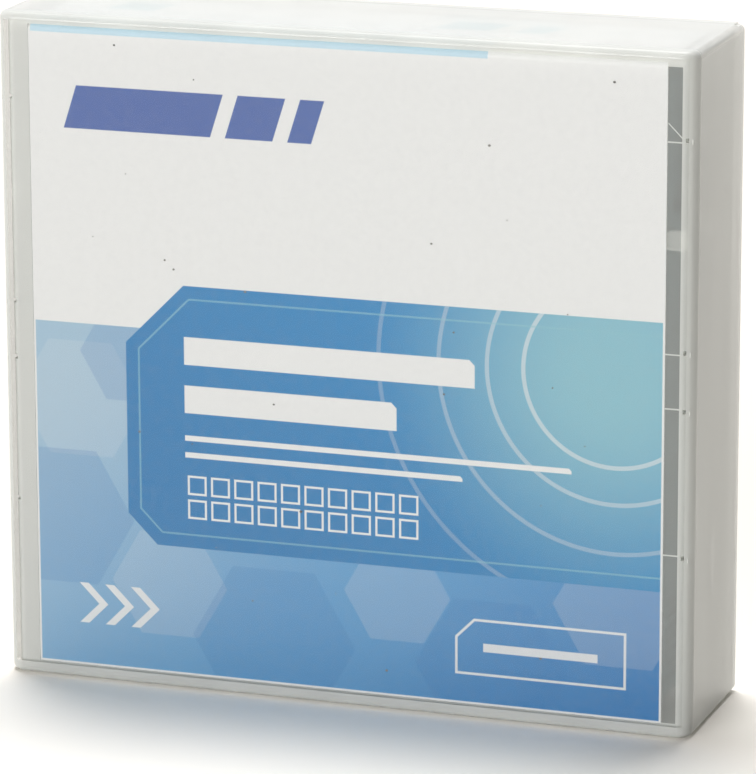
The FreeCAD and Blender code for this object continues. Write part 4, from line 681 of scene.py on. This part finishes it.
def makeDust(material):
    tree, given = startTree("dust", [("Wide", "NodeSocketFloat"), ("Tall", "NodeSocketFloat"),
                                     ("Count", "NodeSocketFloat"), ("Least", "NodeSocketFloat"),
                                     ("Most", "NodeSocketFloat"), ("Seed", "NodeSocketInt")])
    field = addNode(tree, "GeometryNodeMeshGrid", inputs={"Size X": given["Wide"], "Size Y": given["Tall"]})
    area = calc(tree, "MULTIPLY", given["Wide"], given["Tall"])
    points = addNode(tree, "GeometryNodeDistributePointsOnFaces", inputs={
        "Mesh": field.outputs[0], "Density": calc(tree, "DIVIDE", given["Count"], area),
        "Seed": given["Seed"]})
    fleck = addNode(tree, "GeometryNodeMeshIcoSphere", inputs={"Radius": 1.0, "Subdivisions": 2})
    size = addNode(tree, "FunctionNodeRandomValue", {"data_type": "FLOAT"})
    feed(tree, size.inputs[2], given["Least"])
    feed(tree, size.inputs[3], given["Most"])
    feed(tree, size.inputs["Seed"], given["Seed"])
    flat = addNode(tree, "ShaderNodeCombineXYZ", inputs={0: size.outputs[1], 1: calc(
        tree, "MULTIPLY", size.outputs[1], 0.8), 2: 0.03 * mm})
    flecks = addNode(tree, "GeometryNodeInstanceOnPoints", inputs={
        "Points": points.outputs[0], "Instance": fleck.outputs[0], "Scale": flat.outputs[0]})
    endTree(tree, flecks.outputs[0], material)
    low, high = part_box("insert_card")
    piece = growPiece("card_dust", tree, {
        "Wide": (high.x - low.x) * 0.94, "Tall": (high.z - low.z) * 0.94, "Count": dust["count"],
        "Least": dust["least"], "Most": dust["most"], "Seed": dust["seed"]})
    placeMesh(piece, math.pi / 2, Vector((0, low.y - 0.04 * mm, (low.z + high.z) / 2)))
    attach(piece, "lid")


# Floor, light and camera

# The camera sees the floor in two colours added up, the rest of the scene is lit by its bounce colour
studio = {
    "floor": (0.98, 0.95, 0.91),
    "whiter": (0.32, 0.30, 0.265),
    "bounce": (0.60, 0.585, 0.55),
    "sky": 0.09,
    "air": (1.0, 0.985, 0.94),
    "lamps": {"front": ((-0.36, -0.92, 0.03), 0.88, 34), "overhead": ((-0.10, 0.24, 0.966), 0.75, 24)},
}


def seenRays(tree):
    rays = tree.nodes.new("ShaderNodeLightPath").outputs
    return calc(tree, "MAXIMUM", calc(tree, "MAXIMUM", rays["Is Camera Ray"], rays["Is Glossy Ray"]),
                rays["Is Transmission Ray"])


def makeStudio():
    scene = bpy.context.scene
    scene.view_settings.view_transform = "Standard"
    scene.cycles.transparent_max_bounces = 20
    material, tree = startMaterial("studioFloor")
    shade = blendColour(tree, seenRays(tree), studio["bounce"], studio["floor"])
    cloth = addNode(tree, "ShaderNodeBsdfDiffuse", inputs={"Color": shade}).outputs[0]
    whiter = blendColour(tree, seenRays(tree), (0, 0, 0), studio["whiter"])
    backdrop = addNode(tree, "ShaderNodeBsdfDiffuse", inputs={"Color": whiter}).outputs[0]
    finishWith(tree, addNode(tree, "ShaderNodeAddShader", inputs={0: cloth, 1: backdrop}).outputs[0])
    bpy.ops.mesh.primitive_plane_add(size=12.0, location=(0, 0, -0.00005))
    floor = bpy.context.object
    floor.name = "studio_floor"
    floor.data.materials.append(material)

    world = bpy.data.worlds.new("studio")
    world.use_nodes = True
    sky = world.node_tree
    sky.nodes.clear()
    strength = calc(sky, "ADD", calc(sky, "MULTIPLY", seenRays(sky), 1.0 - studio["sky"]), studio["sky"])
    tone = blendColour(sky, seenRays(sky), studio["air"], (1, 1, 1))
    light = addNode(sky, "ShaderNodeBackground", inputs={"Color": tone, "Strength": strength})
    output = sky.nodes.new("ShaderNodeOutputWorld")
    sky.links.new(light.outputs[0], output.inputs[0])
    scene.world = world

    for name, (aim, power, soft) in studio["lamps"].items():
        lamp = bpy.data.lights.new(name, "SUN")
        lamp.energy = power * math.pi
        lamp.angle = math.radians(soft)
        holder = bpy.data.objects.new(name, lamp)
        holder.rotation_mode = "QUATERNION"
        holder.rotation_quaternion = Vector(aim).to_track_quat("Z", "Y")
        scene.collection.objects.link(holder)


camera = {"target": (0.0016, 0.0, 0.0496), "away": 0.8277, "azimuth": 19.12, "elevation": 14.43,
          "roll": -0.18, "lens": 239.05}


def placeCamera():
    turn, rise = math.radians(camera["azimuth"]), math.radians(camera["elevation"])
    back = Vector((math.sin(turn) * math.cos(rise), -math.cos(turn) * math.cos(rise), math.sin(rise)))
    data = bpy.data.cameras.new("camera")
    data.lens = camera["lens"]
    data.sensor_width = 36.0
    data.clip_start, data.clip_end = 0.02, 30.0
    holder = bpy.data.objects.new("camera", data)
    holder.location = Vector(camera["target"]) + back * camera["away"]
    aim = (-back).to_track_quat("-Z", "Y").to_matrix().to_4x4()
    roll = Matrix.Rotation(math.radians(camera["roll"]), 4, "Z")
    holder.rotation_euler = (aim @ roll).to_euler()
    bpy.context.scene.collection.objects.link(holder)
    bpy.context.scene.camera = holder


def dressCartridge():
    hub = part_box("clutch_plate")
    reelSpot = ((hub[0].x + hub[1].x) / 2 / mm, (hub[0].z + hub[1].z) / 2 / mm)
    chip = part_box("memory_chip")
    chipSpot = ((chip[0].x + chip[1].x) / 2 / mm, (chip[0].z + chip[1].z) / 2 / mm)
    shell = makeShellPlastic()
    hubPlastic = makeSmoothPlastic("hubPlastic", (0.60, 0.61, 0.60), (0.68, 0.69, 0.67), 0.4)
    brakePlastic = makeSmoothPlastic("brakePlastic", (0.10, 0.105, 0.11), (0.13, 0.135, 0.14), 0.42)
    tabPlastic = makeSmoothPlastic("tabPlastic", (0.42, 0.075, 0.035), (0.48, 0.090, 0.042), 0.4)
    clipPlastic = makeSmoothPlastic("clipPlastic", (0.025, 0.025, 0.027), (0.035, 0.035, 0.037), 0.38)
    steel = makeSteel("steel", (0.62, 0.62, 0.61), 0.3)
    turned = makeSteel("turnedSteel", (0.60, 0.60, 0.59), 0.32, reelSpot)
    springSteel = makeSteel("springSteel", (0.55, 0.55, 0.56), 0.25)
    tape = makeTapeFilm(reelSpot)
    for node, material in (
            ("upper_shell", shell), ("lower_shell", shell), ("access_door", shell),
            ("reel_hub", hubPlastic), ("upper_flange", hubPlastic), ("release_pad", brakePlastic),
            ("brake_button", brakePlastic), ("write_protect_tab", tabPlastic),
            ("leader_clip", clipPlastic), ("shell_screws", steel), ("leader_pin", steel),
            ("clutch_plate", turned), ("pin_springs", springSteel), ("tape_pack", tape),
            ("leader_tape", tape), ("edge_label", makeLabelPaper()),
            ("memory_chip", makeBoard(chipSpot))):
        dress(node, material)
    makeSprings(springSteel)


print("case")
lidPlastic = makeMilkyPlastic("casePlastic", cloudOfLid)
trayPlastic = makeMilkyPlastic("trayPlastic", cloudOfTray)
dress("case_lid", lidPlastic)
dress("case_tray", trayPlastic)
makeHingeFilm(trayPlastic)
print("card")
dress("insert_card", makeCardPrint())
makeDust(makeSmoothPlastic("dust", (0.14, 0.14, 0.13), (0.30, 0.29, 0.27), 0.8))
print("cartridge")
dressCartridge()
print("studio")
makeStudio()
placeCamera()
